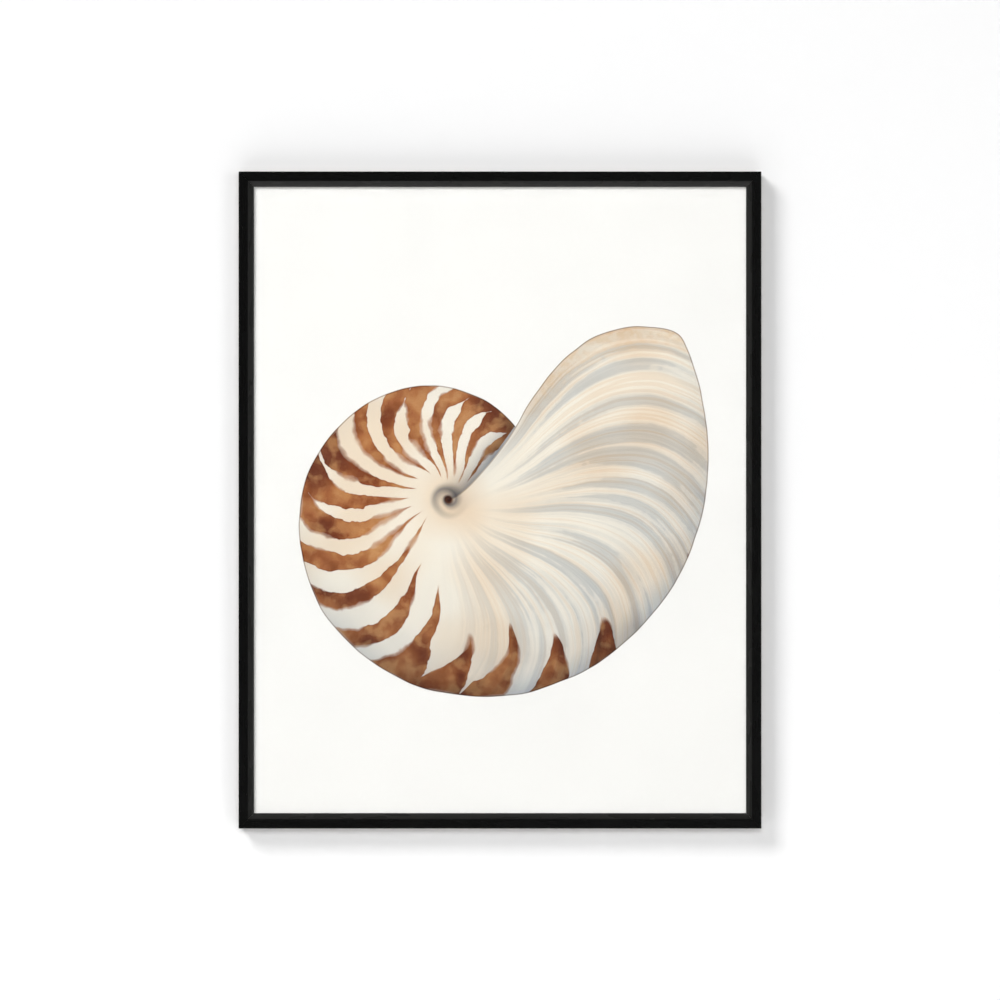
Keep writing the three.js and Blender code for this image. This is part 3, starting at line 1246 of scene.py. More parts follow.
class ZincFinish(Finish):
    """Zinc-plated steel with rolling marks and a faint spangle."""

    name = "zinc_plated_steel"
    dark_plate = pigment("a9adb0")
    light_plate = pigment("c9cbc8")
    dull_spot = pigment("85837c")

    def dress(self) -> None:
        """Adds the marks along X, cloudy plating and small dull spots."""
        graph = self.graph
        x, y, z = self.coordinates()
        rolled = self.cloud(x * 0.08, y, z, 0.18, detail=2.0)
        plate = self.cloud(x, y, z, 2.4, detail=2.0)
        dull = self.cloud(x, y, z, 0.7, detail=1.0)
        colour = graph.mix(plate.ramp(0.35, 0.65), self.dark_plate, self.light_plate)
        colour = graph.mix(dull.ramp(0.62, 0.72, 0.0, 0.5), colour, self.dull_spot)
        rough = plate.ramp(0.3, 0.7, 0.24, 0.38) + dull.ramp(0.6, 0.7, 0.0, 0.2)
        self.set(base_color=colour, metallic=1.0, roughness=rough,
                 normal=self.relief(rolled, 0.012 * MM))


class TabFinish(Finish):
    """Thin spring steel with a black oxide skin, rubbed at the high spots."""

    name = "black_spring_steel"
    dark_skin = pigment("26262a")
    light_skin = pigment("3a3a3e")
    bare_steel = pigment("8a8c90")

    def dress(self) -> None:
        """Adds an uneven skin, with scuffs that let the steel through."""
        graph = self.graph
        x, y, z = self.coordinates()
        skin = self.cloud(x, y, z, 1.8, detail=2.0)
        scuff = self.cloud(x * 0.4, y, z * 2.2, 0.9, detail=2.0)
        worn = scuff.ramp(0.62, 0.7, 0.0, 0.6)
        colour = graph.mix(skin.ramp(0.3, 0.7), self.dark_skin, self.light_skin)
        self.set(base_color=graph.mix(worn, colour, self.bare_steel), metallic=0.85,
                 roughness=skin.ramp(0.3, 0.7, 0.32, 0.46),
                 normal=self.relief(scuff, 0.012 * MM))


class RubberFinish(Finish):
    """Matt black rubber with a dusty bloom."""

    name = "bumper_rubber"
    black = pigment("1d1d1f")
    dusty = pigment("343436")

    def dress(self) -> None:
        """Adds the bloom and a fine moulded grain."""
        graph = self.graph
        x, y, z = self.coordinates()
        bloom = self.cloud(x, y, z, 2.2, detail=3.0)
        grain = self.cloud(x, y, z, 0.3, detail=1.0)
        colour = graph.mix(bloom.ramp(0.4, 0.7), self.black, self.dusty)
        self.set(base_color=colour, roughness=bloom.ramp(0.3, 0.7, 0.66, 0.82),
                 specular_ior_level=0.35, normal=self.relief(grain, 0.02 * MM))


class FixingTree:
    """A Geometry Nodes tree that drives copies of one fixing in at marked points.

    Attributes:
        depth_draw: The draw that sets how deep a fixing sits, after one for each axis it leans on.
        draw_limits: The Random Value node's sockets for a number's least and most.
        draw_output: Its socket for the number.
    """

    depth_draw = 3
    draw_limits = (2, 3)
    draw_output = 1

    def __init__(self) -> None:
        """Builds the tree and its named inputs."""
        self.tree = bpy.data.node_groups.new("driven_fixings", "GeometryNodeTree")
        for name, kind in (("Points", "Geometry"), ("Fixing", "Object"), ("Tilt", "Float"),
                           ("Sink Spread", "Float"), ("Seed", "Int"), ("Finish", "Material")):
            self.tree.interface.new_socket(name, in_out="INPUT", socket_type="NodeSocket" + kind)
        self.tree.interface.new_socket("Fixings", in_out="OUTPUT",
                                       socket_type="NodeSocketGeometry")
        self.wire()

    def node(self, kind: str, **settings: object) -> bpy.types.Node:
        """Adds a node and sets its own properties."""
        return add_node(self.tree, kind, **settings)

    def random_share(self, given: bpy.types.Node, draw_number: int) -> bpy.types.NodeSocket:
        """A random number between minus one and one for each point.

        Args:
            given: The tree's input node.
            draw_number: Keeps draws for different uses apart.

        Returns:
            The number's socket.
        """
        links = self.tree.links
        seed = self.node("ShaderNodeMath", operation="ADD")
        links.new(given.outputs["Seed"], seed.inputs[0])
        seed.inputs[1].default_value = draw_number
        draw = self.node("FunctionNodeRandomValue", data_type="FLOAT")
        for i, limit in zip(self.draw_limits, (-1.0, 1.0)):
            draw.inputs[i].default_value = limit
        links.new(seed.outputs[0], draw.inputs["Seed"])
        return draw.outputs[self.draw_output]

    def wire(self) -> None:
        """Joins the nodes: instances, a random lean and depth, real copies, one finish."""
        links = self.tree.links
        given = self.node("NodeGroupInput")
        result = self.node("NodeGroupOutput")
        shape = self.node("GeometryNodeObjectInfo", transform_space="ORIGINAL")
        links.new(given.outputs["Fixing"], shape.inputs["Object"])
        facing = self.node("GeometryNodeInputNamedAttribute", data_type="FLOAT_VECTOR")
        facing.inputs["Name"].default_value = FACING
        lean = self.node("ShaderNodeCombineXYZ")
        for i in range(3):
            scaled = self.node("ShaderNodeMath", operation="MULTIPLY")
            links.new(self.random_share(given, i), scaled.inputs[0])
            links.new(given.outputs["Tilt"], scaled.inputs[1])
            links.new(scaled.outputs[0], lean.inputs[i])
        turn = self.node("ShaderNodeVectorMath", operation="ADD")
        links.new(facing.outputs["Attribute"], turn.inputs[0])
        links.new(lean.outputs[0], turn.inputs[1])
        copies = self.node("GeometryNodeInstanceOnPoints")
        links.new(given.outputs["Points"], copies.inputs["Points"])
        links.new(shape.outputs["Geometry"], copies.inputs["Instance"])
        links.new(turn.outputs[0], copies.inputs["Rotation"])
        depth = self.node("ShaderNodeMath", operation="MULTIPLY")
        links.new(self.random_share(given, self.depth_draw), depth.inputs[0])
        links.new(given.outputs["Sink Spread"], depth.inputs[1])
        push = self.node("ShaderNodeCombineXYZ")
        links.new(depth.outputs[0], push.inputs["Z"])
        sunk = self.node("GeometryNodeTranslateInstances")
        sunk.inputs["Local Space"].default_value = True
        links.new(copies.outputs[0], sunk.inputs["Instances"])
        links.new(push.outputs[0], sunk.inputs["Translation"])
        real = self.node("GeometryNodeRealizeInstances")
        links.new(sunk.outputs[0], real.inputs[0])
        dressed = self.node("GeometryNodeSetMaterial")
        links.new(real.outputs[0], dressed.inputs["Geometry"])
        links.new(given.outputs["Finish"], dressed.inputs["Material"])
        links.new(dressed.outputs[0], result.inputs[0])

    def drive(self, name: str, shape: bmesh.types.BMesh, places: Sequence[Place],
              finish: bpy.types.Material, tilt: float, sink_spread: float,
              seed: int) -> bpy.types.Object:
        """Makes one plain mesh with a fixing at each place.

        Args:
            name: The piece's name.
            shape: One fixing about its own origin, which is freed.
            places: Where each goes, and its turn about Y in radians.
            finish: The finish.
            tilt: Most random lean, in radians.
            sink_spread: Most random shift along the fixing's own Z, in metres.
            seed: The seed of the random draws.

        Returns:
            The piece.
        """
        sample = piece_from(shape, name + "_sample")
        points = bpy.data.meshes.new(name + "_points")
        points.from_pydata([place for place, _ in places], [], [])
        facing = points.attributes.new(FACING, "FLOAT_VECTOR", "POINT")
        for item, (_, turn) in zip(facing.data, places):
            item.vector = (0.0, turn, 0.0)
        carrier = placed_object(points, name + "_points")
        modifier = carrier.modifiers.new("fixings", "NODES")
        modifier.node_group = self.tree
        values = {"Fixing": sample, "Tilt": tilt, "Sink Spread": sink_spread, "Seed": seed,
                  "Finish": finish}
        for item in self.tree.interface.items_tree:
            if item.in_out == "INPUT" and item.name in values:
                modifier[item.identifier] = values[item.name]
        piece = applied(carrier, name)
        bpy.data.objects.remove(sample)
        return piece


@dataclass
class Moulding:
    """Four mitred lengths of rabbeted moulding, with slots and pockets for what is driven in.

    Attributes:
        lip_width: How far the lip covers what lies in the rabbet.
        lip_thickness: Its thickness at the sight edge, behind the bevel.
        bevel_drop: How far the sight edge lies behind the face.
        ridge_ease: Size of the rounded ridge between bevel and face.
        edge_hold: Length of flat that is kept beside each curve of the section.
        mitre_ease: How much the mitred ends are chamfered.
        back_wrap: How far the lacquer runs over the back from the outer side.
    """

    layout: Layout
    lip_width: float = 6.0 * MM
    lip_thickness: float = 1.2 * MM
    bevel_width: float = 6.6 * MM
    bevel_drop: float = 3.4 * MM
    edge_radius: float = 1.0 * MM
    sight_radius: float = 0.6 * MM
    ridge_ease: float = 0.3 * MM
    edge_hold: float = 0.4 * MM
    arc_steps: int = 8
    mitre_gap: float = 0.05 * MM
    mitre_ease: float = 0.14 * MM
    pocket_clearance: float = 0.15 * MM
    back_wrap: float = 3.6 * MM

    @property
    def face(self) -> float:
        """Width of the moulding's face."""
        return self.layout.outer_half_width - self.layout.sight_half_width

    @property
    def depth(self) -> float:
        """Depth of the moulding, front to back."""
        return self.layout.back - self.layout.front

    def arc(self, outward: float, back: float, radius: float, start: float,
            end: float) -> list[Pair]:
        """Points of an arc of the section.

        Args:
            outward: Its middle, out from the sight edge.
            back: Its middle, behind the front face.
            radius: Its radius.
            start: First angle, in degrees from outward towards the back.
            end: Last angle.

        Returns:
            The points.
        """
        angles = [math.radians(start + (end - start) * i / self.arc_steps)
                  for i in range(self.arc_steps + 1)]
        return [(outward + radius * math.cos(a), back + radius * math.sin(a)) for a in angles]

    def section(self) -> list[Pair]:
        """Draws the moulding's section, with a point beside each curve that keeps the flats flat.

        Returns:
            Points round it: outward from the sight edge, and back from the front face.
        """
        slope = self.bevel_drop / self.bevel_width
        sight_back = self.bevel_drop + self.lip_thickness
        hold = self.edge_hold
        outer = self.face - self.edge_radius
        sight = self.sight_radius
        points = [(0.0, sight_back), (0.0, self.bevel_drop + sight + hold)]
        for i in range(self.arc_steps + 1):
            t = i / self.arc_steps
            points.append((sight * t * t,
                           self.bevel_drop + sight * (1 - t) ** 2 - sight * slope * t * t))
        points.append((sight + hold, self.bevel_drop - (sight + hold) * slope))
        ease = self.ridge_ease
        points += [
            (self.bevel_width - ease - hold, (ease + hold) * slope),
            (self.bevel_width - ease, ease * slope),
            (self.bevel_width - ease * 0.2, ease * slope * 0.32),
            (self.bevel_width + ease * 0.8, 0.0),
            (self.bevel_width + ease + hold, 0.0),
            (outer - hold, 0.0),
        ]
        points += self.arc(outer, self.edge_radius, self.edge_radius, -90.0, 0.0)
        points += [(self.face, self.edge_radius + hold),
                   (self.face, self.depth - self.edge_radius - hold)]
        points += self.arc(outer, self.depth - self.edge_radius, self.edge_radius, 0.0, 90.0)
        points += [(outer - hold, self.depth), (self.lip_width, self.depth),
                   (self.lip_width, sight_back)]
        return points

    def inset(self, points: Sequence[Pair]) -> list[Pair]:
        """The section drawn in a little, which eases the rail's mitred ends.

        Args:
            points: The full section.

        Returns:
            As many points, each moved inwards.
        """
        count = len(points)
        moved = []
        for i, (outward, back) in enumerate(points):
            before = Vector(points[i - 1])
            after = Vector(points[(i + 1) % count])
            along = (after - before).normalized()
            moved.append((outward - along.y * self.mitre_ease, back + along.x * self.mitre_ease))
        return moved

    def rail(self, side: Side) -> bmesh.types.BMesh:
        """One mitred rail, in place.

        Args:
            side: Which rail.

        Returns:
            The closed shape, without slots and pockets.
        """
        section = self.section()
        drawn_in = self.inset(section)
        half, distance = self.layout.half_length(side), self.layout.distance(side)
        stations = [(-1, drawn_in, 0.0), (-1, section, self.mitre_ease),
                    (1, section, self.mitre_ease), (1, drawn_in, 0.0)]
        rings = []
        for end, outline, short in stations:
            ring = []
            for outward, back in outline:
                along = end * (half + outward - self.mitre_gap - short)
                ring.append(Vector((along, self.layout.front + back, -(distance + outward))))
            rings.append(ring)
        shape = loft(rings)
        bmesh.ops.transform(shape, matrix=self.layout.placed(side), verts=shape.verts)
        return shape

    def mark(self, piece: bpy.types.Object, side: Side) -> None:
        """Writes each point's place on the moulding, in millimetres, for the finish to read.

        Args:
            piece: The rail.
            side: Which rail it is.
        """
        back_to_bottom = self.layout.placed(side).inverted()
        distance, front = self.layout.distance(side), self.layout.front
        place = piece.data.attributes.new(RAIL_PLACE, "FLOAT_VECTOR", "POINT")
        for vert, item in zip(piece.data.vertices, place.data):
            local = back_to_bottom @ vert.co
            spot = Vector((local.x, -local.z - distance, local.y - front)) / MM
            spot.x += RAIL_GRAIN_SHIFT * (list(Side).index(side) + 1)
            item.vector = spot

    def build(self, hardware: "Hardware") -> None:
        """Makes the four rails and hands them over.

        Args:
            hardware: What is driven into them, which says where the slots are.
        """
        finish = RailFinish(self).material
        cutter = piece_from(merged(hardware.pockets(self.pocket_clearance)), "pockets")
        for side in Side:
            name = f"moulding_{side.label}"
            blank = piece_from(self.rail(side), name + "_blank")
            cut = blank.modifiers.new("pockets", "BOOLEAN")
            cut.operation = "DIFFERENCE"
            cut.solver = "EXACT"
            cut.object = cutter
            rail = applied(blank, name)
            dissolve_spare_corners(rail.data)
            rail.data.materials.clear()
            rail.data.materials.append(finish)
            self.mark(rail, side)
            smooth(rail, sharp_degrees=32.0)
            hand_over(rail, Slot.FRAME, f"rail_{side.label}")
        bpy.data.objects.remove(cutter)


@dataclass
class Sheets:
    """What lies in the rabbet: the acrylic, the print and the hardboard behind it.

    Attributes:
        cockle: How far the paper swells towards the acrylic and back.
        cockle_length: Length of its waves across.
        cockle_slant: Length of its waves upright, as a share of that.
        cockle_sway: How far the waves sway from side to side, and how fast going up.
        cockle_start: Where the upright waves start, in radians.
        front_share: Share of the map's width that the printed face takes.
    """

    layout: Layout
    pane_ease: float = 0.25 * MM
    board_ease: float = 0.45 * MM
    cockle: float = 0.1 * MM
    cockle_length: float = 150.0 * MM
    cockle_slant: float = 1.4
    cockle_sway: Pair = (2.0, 9.0)
    cockle_start: float = 1.0
    print_cells: int = 56
    front_share: float = 0.92
    map_gap: float = 0.01

    def pane(self) -> None:
        """Makes the acrylic pane, which lets the lamps through."""
        pane = piece_from(slab(*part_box("glazing"), self.pane_ease), "acrylic_pane")
        pane.data.materials.append(AcrylicFinish().material)
        pane.visible_shadow = False
        hand_over(pane, Slot.ACRYLIC, "glazing")

    def board(self) -> None:
        """Makes the hardboard back."""
        board = piece_from(slab(*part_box("backing_board"), self.board_ease), "hardboard_back")
        board.data.materials.append(HardboardFinish().material)
        hand_over(board, Slot.BOARD, "backing_board")

    def swell(self, x: float, z: float) -> float:
        """How far the paper's front stands back at a place.

        Args:
            x: The place across, in metres.
            z: The place up.

        Returns:
            The distance, from zero to the whole cockle.
        """
        sway, rate = self.cockle_sway
        wave = math.sin(math.tau * x / self.cockle_length + sway * math.sin(z * rate))
        upright = self.cockle_slant * self.cockle_length
        wave *= math.sin(math.tau * z / upright + self.cockle_start)
        return self.cockle * (0.5 + 0.5 * wave)

    def layer(self, bm: bmesh.types.BMesh, low: Vector, high: Vector,
              behind: float) -> list[bmesh.types.BMVert]:
        """Adds the paper's front or back as a grid that cockles.

        Args:
            bm: The shape that it is added to.
            low: The sheet's lowest corner.
            high: Its highest corner.
            behind: How far behind the front it lies, in metres.

        Returns:
            The points of its rim, in order round it.
        """
        cells = self.print_cells
        across = [low.x + (high.x - low.x) * i / cells for i in range(cells + 1)]
        up = [low.z + (high.z - low.z) * j / cells for j in range(cells + 1)]
        rows = [[bm.verts.new((x, low.y + self.swell(x, z) + behind, z)) for x in across]
                for z in up]
        for near, far in zip(rows, rows[1:]):
            for i in range(cells):
                bm.faces.new((near[i], near[i + 1], far[i + 1], far[i]))
        right, left = [row[-1] for row in rows], [row[0] for row in rows]
        return rows[0][:-1] + right[:-1] + rows[-1][:0:-1] + left[:0:-1]

    def paper(self) -> bmesh.types.BMesh:
        """Joins the paper's front and back along their rims.

        Returns:
            The closed sheet.
        """
        low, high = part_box("art_print")
        thickness = high.y - low.y - self.cockle
        bm = bmesh.new()
        front, back = (self.layer(bm, low, high, behind) for behind in (0.0, thickness))
        for i in range(len(front)):
            j = (i + 1) % len(front)
            bm.faces.new((front[i], front[j], back[j], back[i]))
        return bm

    def art(self) -> None:
        """Makes the print, which cockles a little between the acrylic and the board."""
        sheet = piece_from(self.paper(), "watercolour_print")
        smooth(sheet, sharp_degrees=40.0)
        self.map_front(sheet.data)
        middle = middle_of("art_print").y
        sheet.data.materials.append(PrintFinish(self.layout.centre, middle).material)
        hand_over(sheet, Slot.PAPER, "art_print")

    def map_front(self, mesh: bpy.types.Mesh) -> None:
        """Gives the printed face most of a map, and the rest of the sheet a strip beside it.

        Args:
            mesh: The sheet.
        """
        low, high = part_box("art_print")
        rest = self.front_share + self.map_gap
        layer = mesh.uv_layers.new(name="OFBake")
        for face in mesh.polygons:
            on_front = face.normal.y < -0.5
            start, width = (0.0, self.front_share) if on_front else (rest, 1.0 - rest)
            for loop in face.loop_indices:
                spot = mesh.vertices[mesh.loops[loop].vertex_index].co
                u = (spot.x - low.x) / (high.x - low.x)
                v = (spot.z - low.z) / (high.z - low.z)
                layer.data[loop].uv = (start + u * width, v)

    def build(self) -> None:
        """Makes all three."""
        self.pane()
        self.art()
        self.board()


@dataclass
class Hardware:
    """The tabs, V nails, hanger, nails and bumpers on the back.

    Attributes:
        tab_reach: How far a tab stands out of the rabbet wall, to its tip.
        tab_root: How deep it is driven in.
        tab_root_share: Width of its root, as a share of its full width.
        tab_edge_share: Thickness of its long edges, as a share of its full thickness.
        tab_stations: Where it is shaped along its length, from the rabbet wall.
        tab_across: Where it is shaped across, as shares of half its width.
        nail_dome: The head from rim to crown, as shares of its radius and height.
        bumper_dish: The bumper from base to hollow, as shares of its radius and height.
        nail_turns: The hanger's nails, each with its turn in radians.
        tab_counts: How many tabs each side has.
        corners: The V nails' corners, each with the signs of its X and Z from the middle.
    """

    layout: Layout
    tab_width: float = 6.0 * MM
    tab_reach: float = 14.0 * MM
    tab_root: float = 7.5 * MM
    tab_root_share: float = 0.3
    tab_tip_half_width: float = 0.15 * MM
    tab_thickness: float = 0.5 * MM
    tab_edge_share: float = 0.6
    tab_rib: float = 0.28 * MM
    tab_rib_share: float = 0.5
    tab_rib_run: float = 4.0 * MM
    tab_lift: float = 0.5 * MM
    tab_stations: tuple[float, ...] = (-1.0 * MM, 0.5 * MM, 2.5 * MM, 5.0 * MM, 8.0 * MM)
    tab_across: tuple[float, ...] = (-1.0, -0.86, -0.5, -0.22, 0.0, 0.22, 0.5, 0.86, 1.0)
    tab_tip_degrees: range = range(0, 91, 15)
    v_leg: float = 4.6 * MM
    v_angle: float = math.radians(34.0)
    v_thickness: float = 0.6 * MM
    nail_radius: float = 0.7 * MM
    nail_sides: int = 28
    nail_tip: float = 0.06 * MM
    nail_point_ratio: float = 2.0
    nail_head_height: float = 0.9 * MM
    nail_hole_ratio: float = 1.35
    pocket_runout: float = 2.0 * MM
    tooth_pitch: float = 2.8 * MM
    tooth_depth: float = 2.6 * MM
    tooth_count: int = 9
    tooth_flank: float = 0.42
    hanger_thickness: float = 0.8 * MM
    hanger_lift: float = 1.4 * MM
    hanger_end: float = 6.0 * MM
    hanger_ramp: float = 2.0 * MM
    hanger_corner: float = 1.5 * MM
    hanger_ease: float = 0.09 * MM
    hanger_weld: float = 0.002 * MM
    hanger_snap: float = 0.0005 * MM
    ramp_steps: int = 8
    corner_steps: int = 6
    bumper_sides: int = 48
    nail_dome: tuple[Pair, ...] = ((0.97, 0.0), (1.0, 2 / 15), (1.0, 16 / 45), (0.93, 5 / 9),
                                   (0.72, 0.8), (0.4, 43 / 45), (0.1, 1.0))
    bumper_dish: tuple[Pair, ...] = ((0.01, 0.0), (0.94, 0.0), (1.0, 1 / 18), (1.0, 0.45),
                                     (0.975, 0.72), (0.93, 0.9), (0.86, 0.98), (0.78, 1.0),
                                     (0.62, 1.0), (0.5, 0.94), (0.3, 0.88), (0.01, 0.87))

    nail_turns = {"hanger_nail_left": 0.4, "hanger_nail_right": 1.9}
    bumper_nodes = ("bumper_left", "bumper_right")
    tab_counts = {Side.BOTTOM: 3, Side.LEFT: 4, Side.TOP: 3, Side.RIGHT: 4}
    corners = (("top_left", -1, 1), ("top_right", 1, 1),
               ("bottom_left", -1, -1), ("bottom_right", 1, -1))

    def tab_nodes(self) -> list[tuple[str, Side]]:
        """Names of the tab nodes, with their sides."""
        return [(f"tab_{side.label}_{i + 1}", side)
                for side, count in self.tab_counts.items() for i in range(count)]

    def tab_places(self) -> list[Place]:
        """Where each tab leaves the rabbet wall, and its turn.

        Returns:
            A place for each tab node, in the nodes' order.
        """
        places = []
        for node, side in self.tab_nodes():
            turn = Matrix.Rotation(side.turn, 3, "Y")
            middle = middle_of(node)
            to_wall = turn @ Vector((0.0, 0.0, -(self.tab_reach - self.tab_root) / 2))
            places.append((middle + to_wall, side.turn))
        return places

    def tab_half_width(self, at: float) -> float:
        """Half the tab's width, which tapers at its root and rounds off at its tip.

        Args:
            at: Distance from the rabbet wall towards the tip, in metres.

        Returns:
            Half the width there.
        """
        half = self.tab_width / 2
        if at > self.tab_reach - half:
            beyond = (at - (self.tab_reach - half)) / half
            rounded = half * math.sqrt(max(0.0, 1.0 - beyond * beyond))
            return max(rounded, self.tab_tip_half_width)
        taper = (at + self.tab_root) / half
        return half * min(1.0, self.tab_root_share + (1.0 - self.tab_root_share) * taper)

    def tab(self) -> bmesh.types.BMesh:
        """One tab about the point where it leaves the wall: ribbed, and turned up at its tip.

        Returns:
            The closed shape.
        """
        half = self.tab_width / 2
        straight = self.tab_reach - half
        stations = [-self.tab_root, -self.tab_root + half / 2, -self.tab_root + half]
        stations += self.tab_stations
        stations += [straight + half * math.sin(math.radians(a)) for a in self.tab_tip_degrees]
        rings = []
        for at in stations:
            width = self.tab_half_width(at)
            lift = self.tab_lift * max(0.0, at / self.tab_reach) ** 2
            rib = self.tab_rib * min(1.0, max(0.0, at / self.tab_rib_run))
            rib *= min(1.0, max(0.0, (self.tab_reach - at) / self.tab_rib_run))
            ring = []
            for top in (1, -1):
                for share in self.tab_across[::top]:
                    edge = self.tab_edge_share if abs(share) == 1.0 else 1.0
                    y = top * edge * self.tab_thickness / 2 + lift
                    y += rib * max(0.0, 1.0 - abs(share) / self.tab_rib_share)
                    ring.append(Vector((share * width, y, at)))
            rings.append(ring)
        return loft(rings)

    def v_outline(self, clearance: float) -> list[Pair]:
        """A V nail seen from the back, opening along X, in metres.

        Args:
            clearance: How much wider than the nail it is drawn.

        Returns:
            The outline's points.
        """
        half = self.v_thickness / 2 + clearance
        leg = self.v_leg + clearance
        cos, sin = math.cos(self.v_angle), math.sin(self.v_angle)
        tip_x, tip_z = leg * cos, leg * sin
        apex = half / sin
        return [(-apex, 0.0), (tip_x - half * sin, -(tip_z + half * cos)),
                (tip_x + half * sin, -(tip_z - half * cos)), (apex, 0.0),
                (tip_x + half * sin, tip_z - half * cos),
                (tip_x - half * sin, tip_z + half * cos)]

    def v_places(self) -> list[Place]:
        """The bend of each V nail at its back end, and its turn.

        Returns:
            A place for each corner.
        """
        places = []
        bend = self.v_thickness / 2 / math.sin(self.v_angle) / math.sqrt(2.0)
        for label, side_x, side_z in self.corners:
            low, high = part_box(f"v_nail_{label}")
            x = low.x + bend if side_x > 0 else high.x - bend
            z = low.z + bend if side_z > 0 else high.z - bend
            places.append((Vector((x, high.y, z)), -math.atan2(side_z, side_x)))
        return places

    def v_nail(self, clearance: float = 0.0, above: float = 0.0) -> bmesh.types.BMesh:
        """One V nail in front of its back end, or the wider pocket for it, run out behind."""
        low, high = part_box("v_nail_top_left")
        return prism(self.v_outline(clearance), low.y - high.y - clearance, above)

    def pockets(self, clearance: float) -> list[bmesh.types.BMesh]:
        """What is cut out of the rails for the tabs, V nails and hanger nails.

        Args:
            clearance: Room round each.

        Returns:
            The cutting shapes, in place.
        """
        shapes = []
        half = self.tab_width / 2 + clearance
        depth = self.tab_thickness / 2 + clearance
        for place, turn in self.tab_places():
            outline = [(-half, -self.tab_root - clearance), (half, -self.tab_root - clearance),
                       (half, self.tab_reach), (-half, self.tab_reach)]
            shapes.append((prism(outline, -depth, depth), place, turn))
        for place, turn in self.v_places():
            shapes.append((self.v_nail(clearance, self.pocket_runout), place, turn))
        for node in self.nail_turns:
            low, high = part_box(node)
            reach = self.nail_radius + clearance
            shaft = turned([(reach, low.y - clearance), (reach, high.y)], self.nail_sides)
            middle = middle_of(node)
            shapes.append((shaft, Vector((middle.x, 0.0, middle.z)), 0.0))
        for shape, place, turn in shapes:
            matrix = Matrix.Translation(place) @ Matrix.Rotation(turn, 4, "Y")
            bmesh.ops.transform(shape, matrix=matrix, verts=shape.verts)
        return [shape for shape, _, _ in shapes]

    def hanger_outline(self, half_length: float, half_height: float) -> list[Pair]:
        """The strip's outline with its row of teeth.

        Args:
            half_length: Half the strip's length.
            half_height: Half its height.

        Returns:
            The outline's points, counter-clockwise.
        """
        points = []
        for i in range(self.tooth_count):
            x = (i - (self.tooth_count - 1) / 2) * self.tooth_pitch
            flank = self.tooth_pitch * self.tooth_flank
            points += [(x - flank, -half_height), (x, -half_height + self.tooth_depth),
                       (x + flank, -half_height)]
        corner = self.hanger_corner
        for side_x, side_z, start in ((1, -1, -90), (1, 1, 0), (-1, 1, 90), (-1, -1, 180)):
            for step in range(self.corner_steps + 1):
                a = math.radians(start + 90 * step / self.corner_steps)
                points.append((side_x * (half_length - corner) + corner * math.cos(a),
                               side_z * (half_height - corner) + corner * math.sin(a)))
        return points

    def hanger_loops(self, half_length: float, half_height: float) -> list[list[Pair]]:
        """The strip's outline and its two nail holes.

        Args:
            half_length: Half the strip's length.
            half_height: Half its height.

        Returns:
            The closed loops, about the strip's middle.
        """
        loops = [self.hanger_outline(half_length, half_height)]
        reach = self.nail_radius * self.nail_hole_ratio
        angles = [math.tau * i / self.nail_sides for i in range(self.nail_sides)]
        for node in self.nail_turns:
            x = middle_of(node).x - middle_of("sawtooth_hanger").x
            loops.append([(x + reach * math.cos(a), -reach * math.sin(a)) for a in angles])
        return loops

    def flat_hanger(self, loops: Sequence[Sequence[Pair]]) -> bmesh.types.BMesh:
        """Stamps the strip out flat, with its edges eased.

        Args:
            loops: Its outline and holes, drawn in X and Y.

        Returns:
            The closed strip, with its thickness along Z.
        """
        curve = bpy.data.curves.new("hanger_outline", "CURVE")
        curve.dimensions = "2D"
        curve.fill_mode = "BOTH"
        curve.extrude = self.hanger_thickness / 2 - self.hanger_ease
        curve.bevel_depth = self.hanger_ease
        curve.bevel_resolution = 1
        curve.offset = -self.hanger_ease
        for points in loops:
            spline = curve.splines.new("POLY")
            spline.points.add(len(points) - 1)
            for item, (x, z) in zip(spline.points, points):
                item.co = (x, z, 0.0, 1.0)
            spline.use_cyclic_u = True
        flat = applied(placed_object(curve, "hanger_flat"), "hanger_flat")
        bm = bmesh.new()
        bm.from_mesh(flat.data)
        bpy.data.objects.remove(flat)
        bmesh.ops.remove_doubles(bm, verts=bm.verts, dist=self.hanger_weld)
        return bm

    def hanger(self, finish: bpy.types.Material) -> None:
        """Bends the strip's middle off the wood between two ramps, and hands it over.

        Args:
            finish: The steel.
        """
        low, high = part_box("sawtooth_hanger")
        middle = (low + high) / 2
        half_length, half_height = (high.x - low.x) / 2, (high.z - low.z) / 2
        bm = self.flat_hanger(self.hanger_loops(half_length, half_height))
        foot = half_length - self.hanger_end
        for side in (-1, 1):
            for step in range(self.ramp_steps + 1):
                x = side * (foot - self.hanger_ramp * step / self.ramp_steps)
                geometry = [*bm.verts, *bm.edges, *bm.faces]
                bmesh.ops.bisect_plane(bm, geom=geometry, plane_co=(x, 0.0, 0.0),
                                       plane_no=(1.0, 0.0, 0.0), dist=self.hanger_snap)
        for vert in bm.verts:
            x, z, y = vert.co
            t = min(1.0, max(0.0, (foot - abs(x)) / self.hanger_ramp))
            lift = self.hanger_lift * t * t * (3.0 - 2.0 * t)
            vert.co = Vector((middle.x + x, low.y + self.hanger_thickness / 2 + y + lift,
                              middle.z + z))
        strip = piece_from(bm, "sawtooth_strip")
        strip.data.materials.append(finish)
        smooth(strip, sharp_degrees=35.0)
        hand_over(strip, Slot.ZINC, "sawtooth_hanger")

